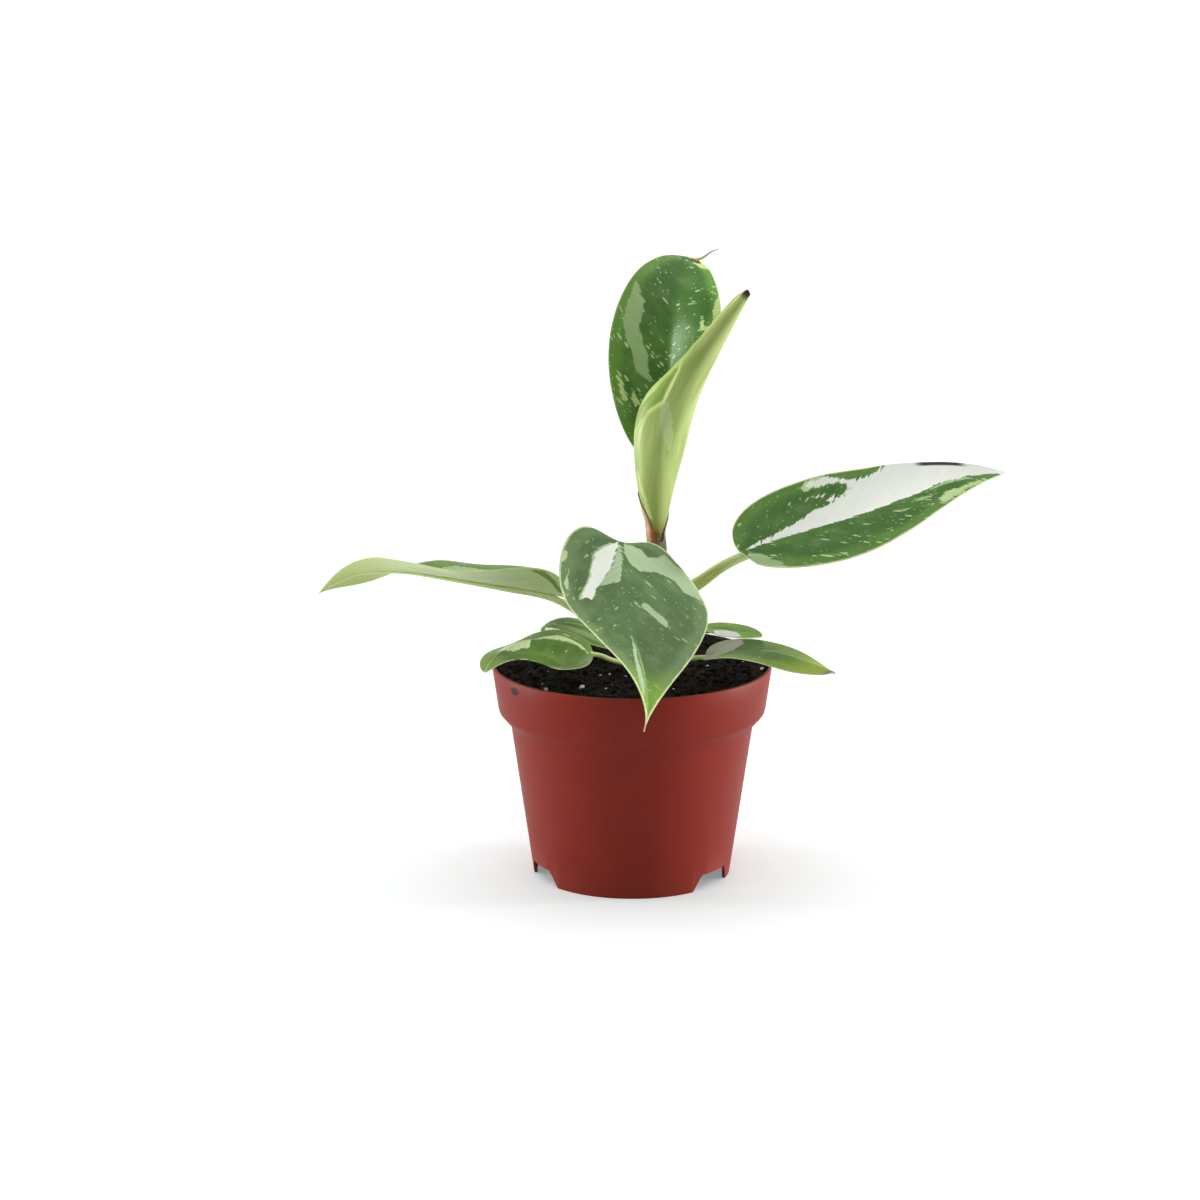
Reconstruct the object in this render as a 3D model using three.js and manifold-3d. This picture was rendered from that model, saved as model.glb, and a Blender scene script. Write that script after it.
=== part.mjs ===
// A young white-splashed philodendron in a plastic nursery pot. Millimetres, +Z up, +Y away from
// the viewer. Everything is laid out round the pot's axis and then moved as one group, so that the
// middle of the whole plant's footprint stands at the origin.
import * as THREE from "three";
import { mergeVertices } from "three/addons/utils/BufferGeometryUtils.js";
import Module from "manifold-3d";

const wasm = await Module();
wasm.setup();

// Driving dimensions
const FIT_GAP = 0.3; // clearance between pieces that touch
const POT_HEIGHT = 81;
const POT_RIM_RADIUS = 52.5;
const POT_FOOT_RADIUS = 37.1;
const POT_WALL = 1.3;
const POT_SIDES = 44;
const BAND_BOTTOM = { radius: 50.2, z: 64 }; // lower edge of the rim band
const BODY_TOP = { radius: 45.5, z: 58 }; // where the tapered body meets the shoulder
const BASE_UNDERSIDE = 6.5; // the base plate is raised on three feet
const BASE_THICKNESS = 1.2;
const NOTCH = { bottomWidth: 21, topWidth: 16, height: 6.2, bearings: [-35, -155, 85] };
const DRAIN_HOLE = { radius: 4, ringRadius: 25, count: 6 };
const SOIL_TOP = 78.4;
const SOIL_SLOPE = 0.022; // the soil lies a little higher towards the back
const STEM_FOOT_Z = 62;
const STEM_TOP_Z = 121;
const STEM_AXIS = { x: [3.6, 5, 7, 9.2], y: [-1.6, -2.3, -3.2, -4.6] }; // even steps of height
const STEM_RADII = [5.6, 6.4, 5.6, 5.2];
const STEM_NODES = [80, 85, 90, 102, 110]; // heights where leaf stalks come out
const STEM_SIDES = 12;
const SOCKET_DEPTH = 2.6; // how far a stalk's foot is sunk in the stem
const STALK_SIDES = 8;
const BLADE_THICKNESS = 0.8;
const RIB_SHARE = 0.6; // share of the blade along which the midrib stands out underneath
const SHEATH_WALL = 0.8;

// Colours
const COLOURS = {
  pot: "#8a3a2c",
  soil: "#1d1814",
  stem: "#6f7a3c",
  sheath: "#a5674c",
  leaf: "#4f7a45",
  youngLeaf: "#9cb766",
};

const radians = THREE.MathUtils.degToRad;

// Solids

function toSolid(geometry) {
  const bare = geometry.clone();
  bare.deleteAttribute("normal");
  bare.deleteAttribute("uv");
  const merged = mergeVertices(bare, 1e-4);
  const mesh = new wasm.Mesh({
    numProp: 3,
    vertProperties: new Float32Array(merged.attributes.position.array),
    triVerts: new Uint32Array(merged.index.array),
  });
  return new wasm.Manifold(mesh);
}

function toGeometry(solid) {
  const mesh = solid.getMesh();
  const geometry = new THREE.BufferGeometry();
  geometry.setAttribute("position", new THREE.BufferAttribute(mesh.vertProperties, 3));
  geometry.setIndex(new THREE.BufferAttribute(mesh.triVerts, 1));
  geometry.computeVertexNormals();
  return geometry;
}

function piece(name, solid, colour, roughness) {
  const material = new THREE.MeshStandardMaterial({ color: colour, roughness, metalness: 0 });
  const mesh = new THREE.Mesh(toGeometry(solid), material);
  mesh.name = name;
  return mesh;
}

// A closed solid through rings of points: each ring has the same count, and the two ends are fans.
function loft(rings) {
  const sides = rings[0].length;
  const positions = [];
  const index = [];
  for (const ring of rings) {
    for (const point of ring) positions.push(point.x, point.y, point.z);
  }
  const middles = [rings[0], rings[rings.length - 1]].map((ring) => {
    const sum = ring.reduce((total, point) => total.add(point), new THREE.Vector3());
    return sum.divideScalar(sides);
  });
  const first = positions.length / 3;
  for (const middle of middles) positions.push(middle.x, middle.y, middle.z);
  for (let i = 0; i < rings.length - 1; i++) {
    for (let j = 0; j < sides; j++) {
      const a = i * sides + j;
      const b = i * sides + ((j + 1) % sides);
      index.push(a, b, b + sides, a, b + sides, a + sides);
    }
  }
  const last = (rings.length - 1) * sides;
  for (let j = 0; j < sides; j++) {
    const next = (j + 1) % sides;
    index.push(first, next, j);
    index.push(first + 1, last + j, last + next);
  }
  const geometry = new THREE.BufferGeometry();
  geometry.setAttribute("position", new THREE.Float32BufferAttribute(positions, 3));
  geometry.setIndex(index);
  return toSolid(geometry);
}

// A smooth value through evenly spaced keys, for t from 0 to 1.
function along(keys, t) {
  const spans = keys.length - 1;
  if (spans === 0) return keys[0];
  const place = THREE.MathUtils.clamp(t, 0, 1) * spans;
  const i = Math.min(Math.floor(place), spans - 1);
  const f = place - i;
  const [p1, p2] = [keys[i], keys[i + 1]];
  const slopeIn = i === 0 ? p2 - p1 : (p2 - keys[i - 1]) / 2;
  const slopeOut = i === spans - 1 ? p2 - p1 : (keys[i + 2] - p1) / 2;
  const f2 = f * f;
  const f3 = f2 * f;
  return (
    (2 * f3 - 3 * f2 + 1) * p1 +
    (f3 - 2 * f2 + f) * slopeIn +
    (3 * f2 - 2 * f3) * p2 +
    (f3 - f2) * slopeOut
  );
}

// A round rod through route points, with a radius at evenly spaced keys.
function rod(route, radii, steps, sides) {
  const curve = new THREE.CatmullRomCurve3(route, false, "centripetal");
  const rings = [];
  const across = new THREE.Vector3(0.31, 0.95, 0.05);
  for (let i = 0; i <= steps; i++) {
    const t = i / steps;
    const centre = curve.getPoint(t);
    const tangent = curve.getTangent(t);
    across.addScaledVector(tangent, -across.dot(tangent)).normalize();
    const up = new THREE.Vector3().crossVectors(tangent, across);
    const radius = along(radii, t);
    const ring = [];
    for (let j = 0; j < sides; j++) {
      const angle = (2 * Math.PI * j) / sides;
      const spoke = across.clone().multiplyScalar(Math.cos(angle));
      spoke.addScaledVector(up, Math.sin(angle));
      ring.push(centre.clone().addScaledVector(spoke, radius));
    }
    rings.push(ring);
  }
  return loft(rings);
}

// A level unit vector at an angle from +X.
const spokeAt = (angle) => new THREE.Vector3(Math.cos(angle), Math.sin(angle), 0);

const vectors = (points) => points.map((point) => new THREE.Vector3(...point));

// Pot: one moulded shell with a rim band, a raised base with drain holes and three feet.

function bodyRadius(z) {
  return POT_FOOT_RADIUS + ((BODY_TOP.radius - POT_FOOT_RADIUS) * z) / BODY_TOP.z;
}

function bandRadius(z) {
  const share = (z - BAND_BOTTOM.z) / (POT_HEIGHT - BAND_BOTTOM.z);
  return BAND_BOTTOM.radius + (POT_RIM_RADIUS - BAND_BOTTOM.radius) * share;
}

const FLOOR_TOP = BASE_UNDERSIDE + BASE_THICKNESS;
const LIP = 0.5; // rounding of the rim's top edge
const SHOULDER_RISE = 1.6; // the shoulder inside lies this much higher than outside

// The inside of the wall from the floor up to the lip, moved inwards by a gap.
function innerWall(gap) {
  const inset = POT_WALL + gap;
  return [
    [bodyRadius(FLOOR_TOP) - inset, FLOOR_TOP + gap],
    [BODY_TOP.radius - inset, BODY_TOP.z + SHOULDER_RISE + gap],
    [BAND_BOTTOM.radius - inset, BAND_BOTTOM.z + SHOULDER_RISE + gap],
  ];
}

function makePot() {
  const inner = innerWall(0);
  const profile = [
    [0, BASE_UNDERSIDE],
    [bodyRadius(BASE_UNDERSIDE) - POT_WALL, BASE_UNDERSIDE],
    [POT_FOOT_RADIUS - POT_WALL, 0],
    [POT_FOOT_RADIUS, 0],
    [BODY_TOP.radius, BODY_TOP.z],
    [BAND_BOTTOM.radius - 0.6, BAND_BOTTOM.z - 1.4],
    [BAND_BOTTOM.radius, BAND_BOTTOM.z],
    [bandRadius(POT_HEIGHT - LIP), POT_HEIGHT - LIP],
    [POT_RIM_RADIUS - LIP, POT_HEIGHT],
    [POT_RIM_RADIUS - POT_WALL + LIP / 2, POT_HEIGHT],
    [bandRadius(POT_HEIGHT - LIP) - POT_WALL, POT_HEIGHT - LIP],
    inner[2],
    inner[1],
    inner[0],
    [0, FLOOR_TOP],
  ].map(([radius, z]) => new THREE.Vector2(radius, z));
  const lathe = new THREE.LatheGeometry(profile, POT_SIDES);
  lathe.rotateX(Math.PI / 2);
  let pot = toSolid(lathe);

  const outline = new THREE.Shape();
  outline.moveTo(-NOTCH.bottomWidth / 2 - 1, -1);
  outline.lineTo(NOTCH.bottomWidth / 2 + 1, -1);
  outline.lineTo(NOTCH.topWidth / 2, NOTCH.height);
  outline.lineTo(-NOTCH.topWidth / 2, NOTCH.height);
  outline.closePath();
  for (const bearing of NOTCH.bearings) {
    const cutter = new THREE.ExtrudeGeometry(outline, { depth: 16, bevelEnabled: false });
    cutter.rotateX(Math.PI / 2);
    cutter.rotateZ(Math.PI / 2);
    cutter.translate(POT_FOOT_RADIUS + 8 - 16, 0, 0);
    cutter.rotateZ(radians(bearing));
    pot = pot.subtract(toSolid(cutter));
  }
  for (let i = 0; i < DRAIN_HOLE.count; i++) {
    const angle = ((i + 0.5) / DRAIN_HOLE.count) * 2 * Math.PI;
    const cutter = new THREE.CylinderGeometry(DRAIN_HOLE.radius, DRAIN_HOLE.radius, 4, 16);
    cutter.rotateX(Math.PI / 2);
    const reach = DRAIN_HOLE.ringRadius;
    const height = BASE_UNDERSIDE + BASE_THICKNESS / 2;
    cutter.translate(reach * Math.cos(angle), reach * Math.sin(angle), height);
    pot = pot.subtract(toSolid(cutter));
  }
  return pot;
}

// Soil: peat that fills the pot, with a crumbly top and a plain hole for the stem.

// Unevenness of the soil at a place, by a few overlaid waves.
function crumb(x, y) {
  const broad = Math.sin(x * 0.11 + 1.3) * Math.sin(y * 0.13 - 0.4);
  const fine = Math.sin(x * 0.53 + y * 0.29) * Math.sin(y * 0.61 - x * 0.17 + 2.1);
  return 0.8 * broad + 0.6 * fine + SOIL_SLOPE * y;
}

function makeSoil(stem) {
  const [low, shoulder, band] = innerWall(FIT_GAP);
  const edge = bandRadius(SOIL_TOP) - POT_WALL - FIT_GAP;
  const rings = [low, shoulder, band, [edge - 0.3, SOIL_TOP - 1.5]].map(([radius, z]) =>
    ringAt(radius, () => z),
  );
  for (const share of [0.93, 0.84, 0.73, 0.6, 0.46, 0.32, 0.18]) {
    rings.push(ringAt(edge * share, (x, y) => SOIL_TOP + crumb(x, y)));
  }
  return loft(rings).subtract(stem);
}

function ringAt(radius, height) {
  const ring = [];
  for (let j = 0; j < POT_SIDES; j++) {
    const angle = (2 * Math.PI * j) / POT_SIDES;
    const x = radius * Math.cos(angle);
    const y = radius * Math.sin(angle);
    ring.push(new THREE.Vector3(x, y, height(x, y)));
  }
  return ring;
}

// Stem: short and upright, with a raised ring at each node where a leaf stalk comes out.

function stemAxis(z) {
  const share = (z - STEM_FOOT_Z) / (STEM_TOP_Z - STEM_FOOT_Z);
  return new THREE.Vector3(along(STEM_AXIS.x, share), along(STEM_AXIS.y, share), z);
}

function stemRadius(z) {
  const share = (z - STEM_FOOT_Z) / (STEM_TOP_Z - STEM_FOOT_Z);
  const swell = STEM_NODES.reduce((sum, node) => sum + Math.exp(-(((z - node) / 1.3) ** 2)), 0);
  return along(STEM_RADII, share) + 0.5 * swell;
}

// The stem, or the plain hole it stands in: that is larger all round by the gap.
function makeStem(gap) {
  const heights = [STEM_FOOT_Z - gap, 70, 77];
  for (const node of STEM_NODES) heights.push(node - 1.4, node, node + 1.4);
  heights.push(96, 116, STEM_TOP_Z);
  heights.sort((a, b) => a - b);
  const rings = heights.map((z) => {
    const radius = stemRadius(z) + gap / Math.cos(Math.PI / STEM_SIDES);
    const ring = [];
    for (let j = 0; j < STEM_SIDES; j++) {
      ring.push(stemAxis(z).addScaledVector(spokeAt((2 * Math.PI * j) / STEM_SIDES), radius));
    }
    return ring;
  });
  return loft(rings);
}

// Leaves. A blade is a flat outline bent along its midrib, which is walked in small steps.
// base: where blade and stalk meet. heading: compass bearing of the midrib from +X, its rise and
// the roll about it. bend, turn and twist: degrees over the whole length, at evenly spaced keys,
// for a droop, a swing to the right and a lift of the right side. foldL/R: how far each half
// stands up from the midrib. curlL/R: how far it curls on from there to its margin.
// Left and right are as seen from the midrib's base, with the upper side up.

const BLADE_DEFAULTS = {
  turn: [0],
  twist: [0],
  foldL: [0],
  foldR: [0],
  curlL: [0],
  curlR: [0],
  roundness: 0.5,
  lobe: 1,
  ripple: [0, 1, 0],
};

const WALK_STEPS = 200;

function walkMidrib(blade) {
  const [yaw, pitch, roll] = blade.heading.map(radians);
  const level = Math.cos(pitch);
  const forward = new THREE.Vector3(level * Math.cos(yaw), level * Math.sin(yaw), Math.sin(pitch));
  const flatSide = new THREE.Vector3(Math.sin(yaw), -Math.cos(yaw), 0);
  const flatUp = new THREE.Vector3().crossVectors(flatSide, forward);
  const side = flatSide.clone().multiplyScalar(Math.cos(roll));
  side.addScaledVector(flatUp, Math.sin(roll));
  const up = new THREE.Vector3().crossVectors(side, forward);
  const stations = [{ point: new THREE.Vector3(...blade.base), forward, side, up }];
  for (let i = 0; i < WALK_STEPS; i++) {
    const last = stations[i];
    const t = (i + 0.5) / WALK_STEPS;
    const spin = new THREE.Vector3();
    spin.addScaledVector(last.side, -radians(along(blade.bend, t)) / WALK_STEPS);
    spin.addScaledVector(last.up, -radians(along(blade.turn, t)) / WALK_STEPS);
    spin.addScaledVector(last.forward, radians(along(blade.twist, t)) / WALK_STEPS);
    const nextForward = last.forward.clone();
    nextForward.add(new THREE.Vector3().crossVectors(spin, last.forward)).normalize();
    const nextSide = last.side.clone();
    nextSide.add(new THREE.Vector3().crossVectors(spin, last.side));
    nextSide.addScaledVector(nextForward, -nextForward.dot(nextSide)).normalize();
    stations.push({
      point: last.point.clone().addScaledVector(nextForward, blade.length / WALK_STEPS),
      forward: nextForward,
      side: nextSide,
      up: new THREE.Vector3().crossVectors(nextSide, nextForward),
    });
  }
  return stations;
}

function stationAt(stations, t) {
  const place = THREE.MathUtils.clamp(t, 0, 1) * WALK_STEPS;
  const i = Math.min(Math.floor(place), WALK_STEPS - 1);
  const f = place - i;
  const mixed = {};
  for (const key of ["point", "forward", "side", "up"]) {
    mixed[key] = stations[i][key].clone().lerp(stations[i + 1][key], f);
  }
  return mixed;
}

// Half the width of the flat outline at t, on the left (-1) or the right (1).
function halfWidth(blade, t, hand) {
  const start = blade.roundness;
  const end = (start * (1 - blade.widest)) / blade.widest;
  const peak = blade.widest ** start * (1 - blade.widest) ** end;
  const inside = THREE.MathUtils.clamp(t, 0, 1);
  const width = hand > 0 ? blade.width[1] : blade.width[0];
  return (width * inside ** start * (1 - inside) ** end) / peak;
}

// The point and the surface normal for a share t of the length and u from -1 to 1 across.
function bladePoint(blade, stations, t, u) {
  const hand = u > 0 ? 1 : -1;
  const across = halfWidth(blade, t, hand) * Math.abs(u);
  const sweep = blade.lobe * Math.exp(-((t / 0.16) ** 2)) * (1 - Math.exp(-t / 0.02));
  const ahead = t * blade.length - sweep * Math.abs(u) ** 1.5;
  const s = ahead / blade.length;
  const station = stationAt(stations, s);
  const point = station.point.addScaledVector(station.forward, Math.min(ahead, 0));
  const fold = radians(along(hand > 0 ? blade.foldR : blade.foldL, s));
  const curl = radians(along(hand > 0 ? blade.curlR : blade.curlL, s));
  const nearby = THREE.MathUtils.clamp(s, 0.02, 0.98);
  let bow = curl / Math.max(halfWidth(blade, nearby, hand), 0.5);
  if (Math.abs(bow) < 1e-6) bow = 1e-6;
  const angle = fold + bow * across;
  const [height, count, start] = blade.ripple;
  const phase = 2 * Math.PI * (count * s + start) + (hand > 0 ? 0 : 0.7 * Math.PI);
  const reach = across / blade.width[hand > 0 ? 1 : 0];
  const fade = Math.sqrt(Math.sin(Math.PI * THREE.MathUtils.clamp(s, 0, 1)));
  const wave = height * reach ** 2 * Math.sin(phase) * fade;
  const out = (Math.sin(angle) - Math.sin(fold)) / bow - wave * Math.sin(angle);
  const lift = (Math.cos(fold) - Math.cos(angle)) / bow + wave * Math.cos(angle);
  point.addScaledVector(station.side, hand * out).addScaledVector(station.up, lift);
  const normal = station.up.clone().multiplyScalar(Math.cos(angle));
  normal.addScaledVector(station.side, -hand * Math.sin(angle)).normalize();
  return { point, normal };
}

// The blade as a closed sheet: both faces are split into the same triangles.
function bladeSolid(blade, stations, rows, columns) {
  const positions = [];
  const index = [];
  const addPair = (t, u) => {
    const { point, normal } = bladePoint(blade, stations, t, u);
    const half = BLADE_THICKNESS / 2;
    const top = point.clone().addScaledVector(normal, half);
    const bottom = point.clone().addScaledVector(normal, -half);
    positions.push(top.x, top.y, top.z, bottom.x, bottom.y, bottom.z);
    return positions.length / 6 - 1;
  };
  const grid = [];
  for (let i = 0; i <= rows; i++) {
    const t = (1 - Math.cos((Math.PI * i) / rows)) / 2;
    const row = [];
    if (i === 0 || i === rows) {
      const pair = addPair(t, 0);
      for (let j = 0; j <= columns; j++) row.push(pair);
    } else {
      for (let j = 0; j <= columns; j++) row.push(addPair(t, (2 * j) / columns - 1));
    }
    grid.push(row);
  }
  const face = (a, b, c) => {
    if (a === b || b === c || a === c) return;
    index.push(2 * a, 2 * b, 2 * c);
    index.push(2 * a + 1, 2 * c + 1, 2 * b + 1);
  };
  const wall = (a, b) => {
    index.push(2 * a, 2 * a + 1, 2 * b + 1);
    index.push(2 * a, 2 * b + 1, 2 * b);
  };
  for (let i = 0; i < rows; i++) {
    const [near, far] = [grid[i], grid[i + 1]];
    for (let j = 0; j < columns; j++) {
      const leaning = j < columns / 2;
      if (leaning) {
        face(near[j], near[j + 1], far[j]);
        face(near[j + 1], far[j + 1], far[j]);
      } else {
        face(near[j], near[j + 1], far[j + 1]);
        face(near[j], far[j + 1], far[j]);
      }
    }
    wall(far[0], near[0]);
    wall(near[columns], far[columns]);
  }
  const geometry = new THREE.BufferGeometry();
  geometry.setAttribute("position", new THREE.Float32BufferAttribute(positions, 3));
  geometry.setIndex(index);
  return toSolid(geometry);
}

// The stalk's foot lies inside the stem, at a height and a bearing.
function stalkFoot({ height, bearing }) {
  const reach = stemRadius(height) - SOCKET_DEPTH;
  return stemAxis(height).addScaledVector(spokeAt(radians(bearing)), reach);
}

// The stalk runs from the stem to the blade and on under it as the midrib.
function stalkRoute(blade, stations) {
  const route = [stalkFoot(blade.foot), ...vectors(blade.stalk)];
  for (const t of [0.05, 0.22, 0.42, RIB_SHARE]) {
    const station = stationAt(stations, t);
    route.push(station.point.addScaledVector(station.up, -0.35));
  }
  return route;
}

// How finely a large and a small leaf are divided.
const LARGE_MESH = { rows: 18, columns: 8, stalkSteps: 16 };
const SMALL_MESH = { rows: 12, columns: 6, stalkSteps: 12 };

function makeLeaf(shape) {
  const blade = { ...BLADE_DEFAULTS, ...shape };
  const stations = walkMidrib(blade);
  const [thick, thin] = blade.stalkRadii;
  const radii = [thick, (thick + thin) / 2, thin, thin * 0.7, 0.4];
  const mesh = blade.length > 60 ? LARGE_MESH : SMALL_MESH;
  const route = stalkRoute(blade, stations);
  const stalk = rod(route, radii, mesh.stalkSteps, STALK_SIDES);
  const leaf = bladeSolid(blade, stations, mesh.rows, mesh.columns).add(stalk);
  const socketRadii = radii.map((radius) => radius + FIT_GAP / Math.cos(Math.PI / STALK_SIDES));
  const sunk = route.map((point) => point.clone());
  sunk[0].addScaledVector(sunk[1].clone().sub(sunk[0]).normalize(), -FIT_GAP);
  const socket = rod(sunk, socketRadii, mesh.stalkSteps, STALK_SIDES);
  return { leaf, socket };
}

const LEAVES = {
  leaf_top: {
    base: [15.8, 27.8, 159.6],
    length: 94,
    width: [23, 24],
    heading: [14.4, 96.5, -88],
    bend: [-7.4, 117.4, 180.7],
    turn: [7.3, 54.9, 34.7],
    twist: [-15.3, 2.3],
    foldL: [1, -7.4],
    foldR: [-66, -50, -16, -5],
    curlL: [-4],
    curlR: [7.4, -1.6],
    widest: 0.343,
    roundness: 0.45,
    lobe: 9,
    foot: { height: 111, bearing: 80 },
    stalk: [[10, 6, 122], [12.5, 15.5, 140], [15.3, 25.2, 154]],
    stalkRadii: [1.9, 1.3],
  },
  leaf_right: {
    base: [40, 0, 123.5],
    length: 110,
    width: [26.5, 26.5],
    heading: [22, 16, 8],
    bend: [36, -17, 117],
    turn: [12, 2],
    twist: [4, -17],
    foldL: [22, 16],
    foldR: [-13, -2.5],
    curlL: [28],
    curlR: [-26],
    widest: 0.35,
    foot: { height: 103, bearing: 10 },
    stalk: [[16, -2, 106.5], [25.5, -1, 112.5], [34, -0.6, 118.5]],
    stalkRadii: [2.6, 1.4],
  },
  leaf_left: {
    base: [-25.3, -0.7, 106.5],
    length: 108,
    width: [19.2, 20.6],
    heading: [168.2, 10.5, -6.1],
    bend: [34, 3, 48, 168],
    turn: [-13.5, 60.6, 10.4],
    twist: [-19, 56, 8],
    foldL: [54, 13, 8, 12.5],
    foldR: [25, 19.6, 29, -50],
    curlL: [1],
    curlR: [-12],
    widest: 0.281,
    lobe: 2,
    foot: { height: 90, bearing: 180 },
    stalk: [[-5, -2.4, 90.5], [-13, -2.4, 94.5], [-21, -2, 101.5]],
    stalkRadii: [2, 1.4],
  },
  leaf_front: {
    base: [-4.5, -23.5, 132.9],
    length: 98,
    width: [32.5, 25],
    heading: [-86.5, -44, 28],
    bend: [-9, -51, 149],
    turn: [-22, 21, 22],
    twist: [39, -61],
    foldL: [-8, 22],
    foldR: [-8, 25],
    curlL: [2],
    curlR: [-8],
    widest: 0.23,
    roundness: 0.54,
    lobe: 10,
    foot: { height: 108, bearing: 215 },
    stalk: [[-0.5, -10.5, 113], [-3.2, -15.6, 122.5], [-4.4, -20.6, 130.4]],
    stalkRadii: [2, 1.4],
  },
  leaf_low_left: {
    base: [-14.3, -18.3, 89.3],
    length: 52,
    width: [13, 14],
    heading: [206, 32, 10],
    bend: [26, 75, 78, 197],
    turn: [-10, -37],
    twist: [-3, 44, -2],
    foldL: [-39, -34, -1],
    foldR: [7.5, -22, 0],
    curlL: [-12],
    curlR: [15],
    widest: 0.44,
    foot: { height: 80, bearing: 222 },
    stalk: [[-3, -9.4, 83], [-8, -13.5, 85.6], [-11.6, -16.6, 87.9]],
    stalkRadii: [1.2, 0.9],
  },
  leaf_low_back: {
    base: [-1, 12, 84.4],
    length: 36,
    width: [8, 9],
    heading: [180, 27, 22],
    bend: [0, 40, 230],
    turn: [-8, -16],
    twist: [0, 10],
    foldL: [-10, -6],
    foldR: [-10],
    curlL: [-8],
    curlR: [-20],
    widest: 0.58,
    roundness: 0.42,
    foot: { height: 82, bearing: 110 },
    stalk: [[2.4, 5, 83], [0.8, 8.4, 83.7], [-0.4, 11, 84.2]],
    stalkRadii: [1.2, 0.9],
  },
  leaf_low_right: {
    base: [27, -21.8, 89.3],
    length: 54,
    width: [13, 14],
    heading: [-24, 19, -5.5],
    bend: [26, 47, -22],
    turn: [0, 18, 11],
    twist: [-52, 8, -1],
    foldL: [22, -30],
    foldR: [-5.5, -10.5],
    curlL: [5],
    curlR: [5],
    widest: 0.51,
    foot: { height: 80.5, bearing: -42 },
    stalk: [[12.6, -9.6, 83.4], [18, -14.5, 85.6], [24, -19.6, 88]],
    stalkRadii: [1.2, 0.9],
  },
  leaf_low_small: {
    base: [26.6, 4.9, 93],
    length: 24,
    width: [7.7, 8.3],
    heading: [-21, 2, 1],
    bend: [6, 12],
    turn: [7, 1],
    twist: [8],
    foldL: [9, -4],
    foldR: [6.5, -2],
    curlL: [5],
    curlR: [5],
    widest: 0.42,
    foot: { height: 86, bearing: 35 },
    stalk: [[13, 2.6, 89.4], [18, 4.6, 91.8], [23, 5.6, 93]],
    stalkRadii: [1.2, 0.9],
  },
};

// The newest leaf is still rolled up: both halves curl right round towards each other.
const FURLED_LEAF = {
  base: [8.9, -8.2, 129.6],
  length: 103.1,
  width: [20.3, 17.2],
  heading: [-4.5, 93.7, 83.4],
  bend: [-6, -15, -2],
  turn: [14.5, -58.7, -82.3, -33.6, -16.8],
  twist: [25, -33, -53, 35],
  curlL: [145, 106, 155, 210],
  curlR: [200, 140, 106, 226, 52],
  widest: 0.429,
  roundness: 0.568,
  lobe: 0,
  columns: 12,
};

// Its foot is a round bud that stands on the stem and runs up inside the roll.
const BUD_RADII = [3, 3, 2.6, 2, 1];
const BUD_INSET = 2.2; // how far its axis lies inside the rolled blade

function makeFurledLeaf(blade, stations) {
  const start = stemAxis(STEM_TOP_Z);
  start.z += FIT_GAP;
  const route = [start, start.clone().setZ(start.z + 4)];
  for (const t of [0.02, 0.06, 0.1]) {
    const station = stationAt(stations, t);
    route.push(station.point.addScaledVector(station.up, BUD_INSET));
  }
  const bud = rod(route, BUD_RADII, 8, 10);
  return bladeSolid(blade, stations, LARGE_MESH.rows, blade.columns).add(bud);
}

// Sheath: the dry wrapper round the foot of the newest leaf, a sleeve that stands on the stem.
// Its rim is high on the left and dips to a notch in front: rim height at even steps of bearing.
const SHEATH_RIM = [137, 141, 141, 143, 147, 139, 125.7, 130, 137];
const SHEATH_COLUMNS = 20;
const SHEATH_ROWS = 7;

// The middle of the roll at a height, and how far out along a spoke a wall clears it.
function aroundRoll(blade, stations, z, spoke) {
  const foot = stemAxis(STEM_TOP_Z);
  const share = (z - blade.base[2]) / blade.length;
  const station = stationAt(stations, share);
  const radiusLeft = halfWidth(blade, share, -1) / radians(along(blade.curlL, share));
  const radiusRight = halfWidth(blade, share, 1) / radians(along(blade.curlR, share));
  const inset = Math.max((radiusLeft + radiusRight) / 2, BUD_INSET);
  const middle = station.point.addScaledVector(station.up, inset);
  let reach = BUD_RADII[0];
  for (let u = -1; u <= 1 && share > 0; u += 0.125) {
    const { point } = bladePoint(blade, stations, share, u);
    reach = Math.max(reach, point.sub(middle).dot(spoke) + BLADE_THICKNESS / 2);
  }
  const blend = THREE.MathUtils.smoothstep(z, foot.z + 4, blade.base[2] + 3);
  return { middle: foot.lerp(middle, blend).setZ(z), reach: reach + FIT_GAP + 0.2 };
}

function makeSheath(blade, stations) {
  const skin = (thickness) => {
    const rings = [];
    for (let i = 0; i <= SHEATH_ROWS; i++) {
      const ring = [];
      for (let j = 0; j < SHEATH_COLUMNS; j++) {
        const turn = j / SHEATH_COLUMNS;
        const rim = along(SHEATH_RIM, turn);
        const z = THREE.MathUtils.lerp(STEM_TOP_Z + FIT_GAP, rim, i / SHEATH_ROWS);
        const spoke = spokeAt(2 * Math.PI * turn);
        const { middle, reach } = aroundRoll(blade, stations, z, spoke);
        const radius = (reach + thickness) / Math.cos(Math.PI / SHEATH_COLUMNS);
        ring.push(middle.addScaledVector(spoke, radius));
      }
      rings.push(ring);
    }
    return rings;
  };
  return sleeve(skin(0), skin(SHEATH_WALL));
}

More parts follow.
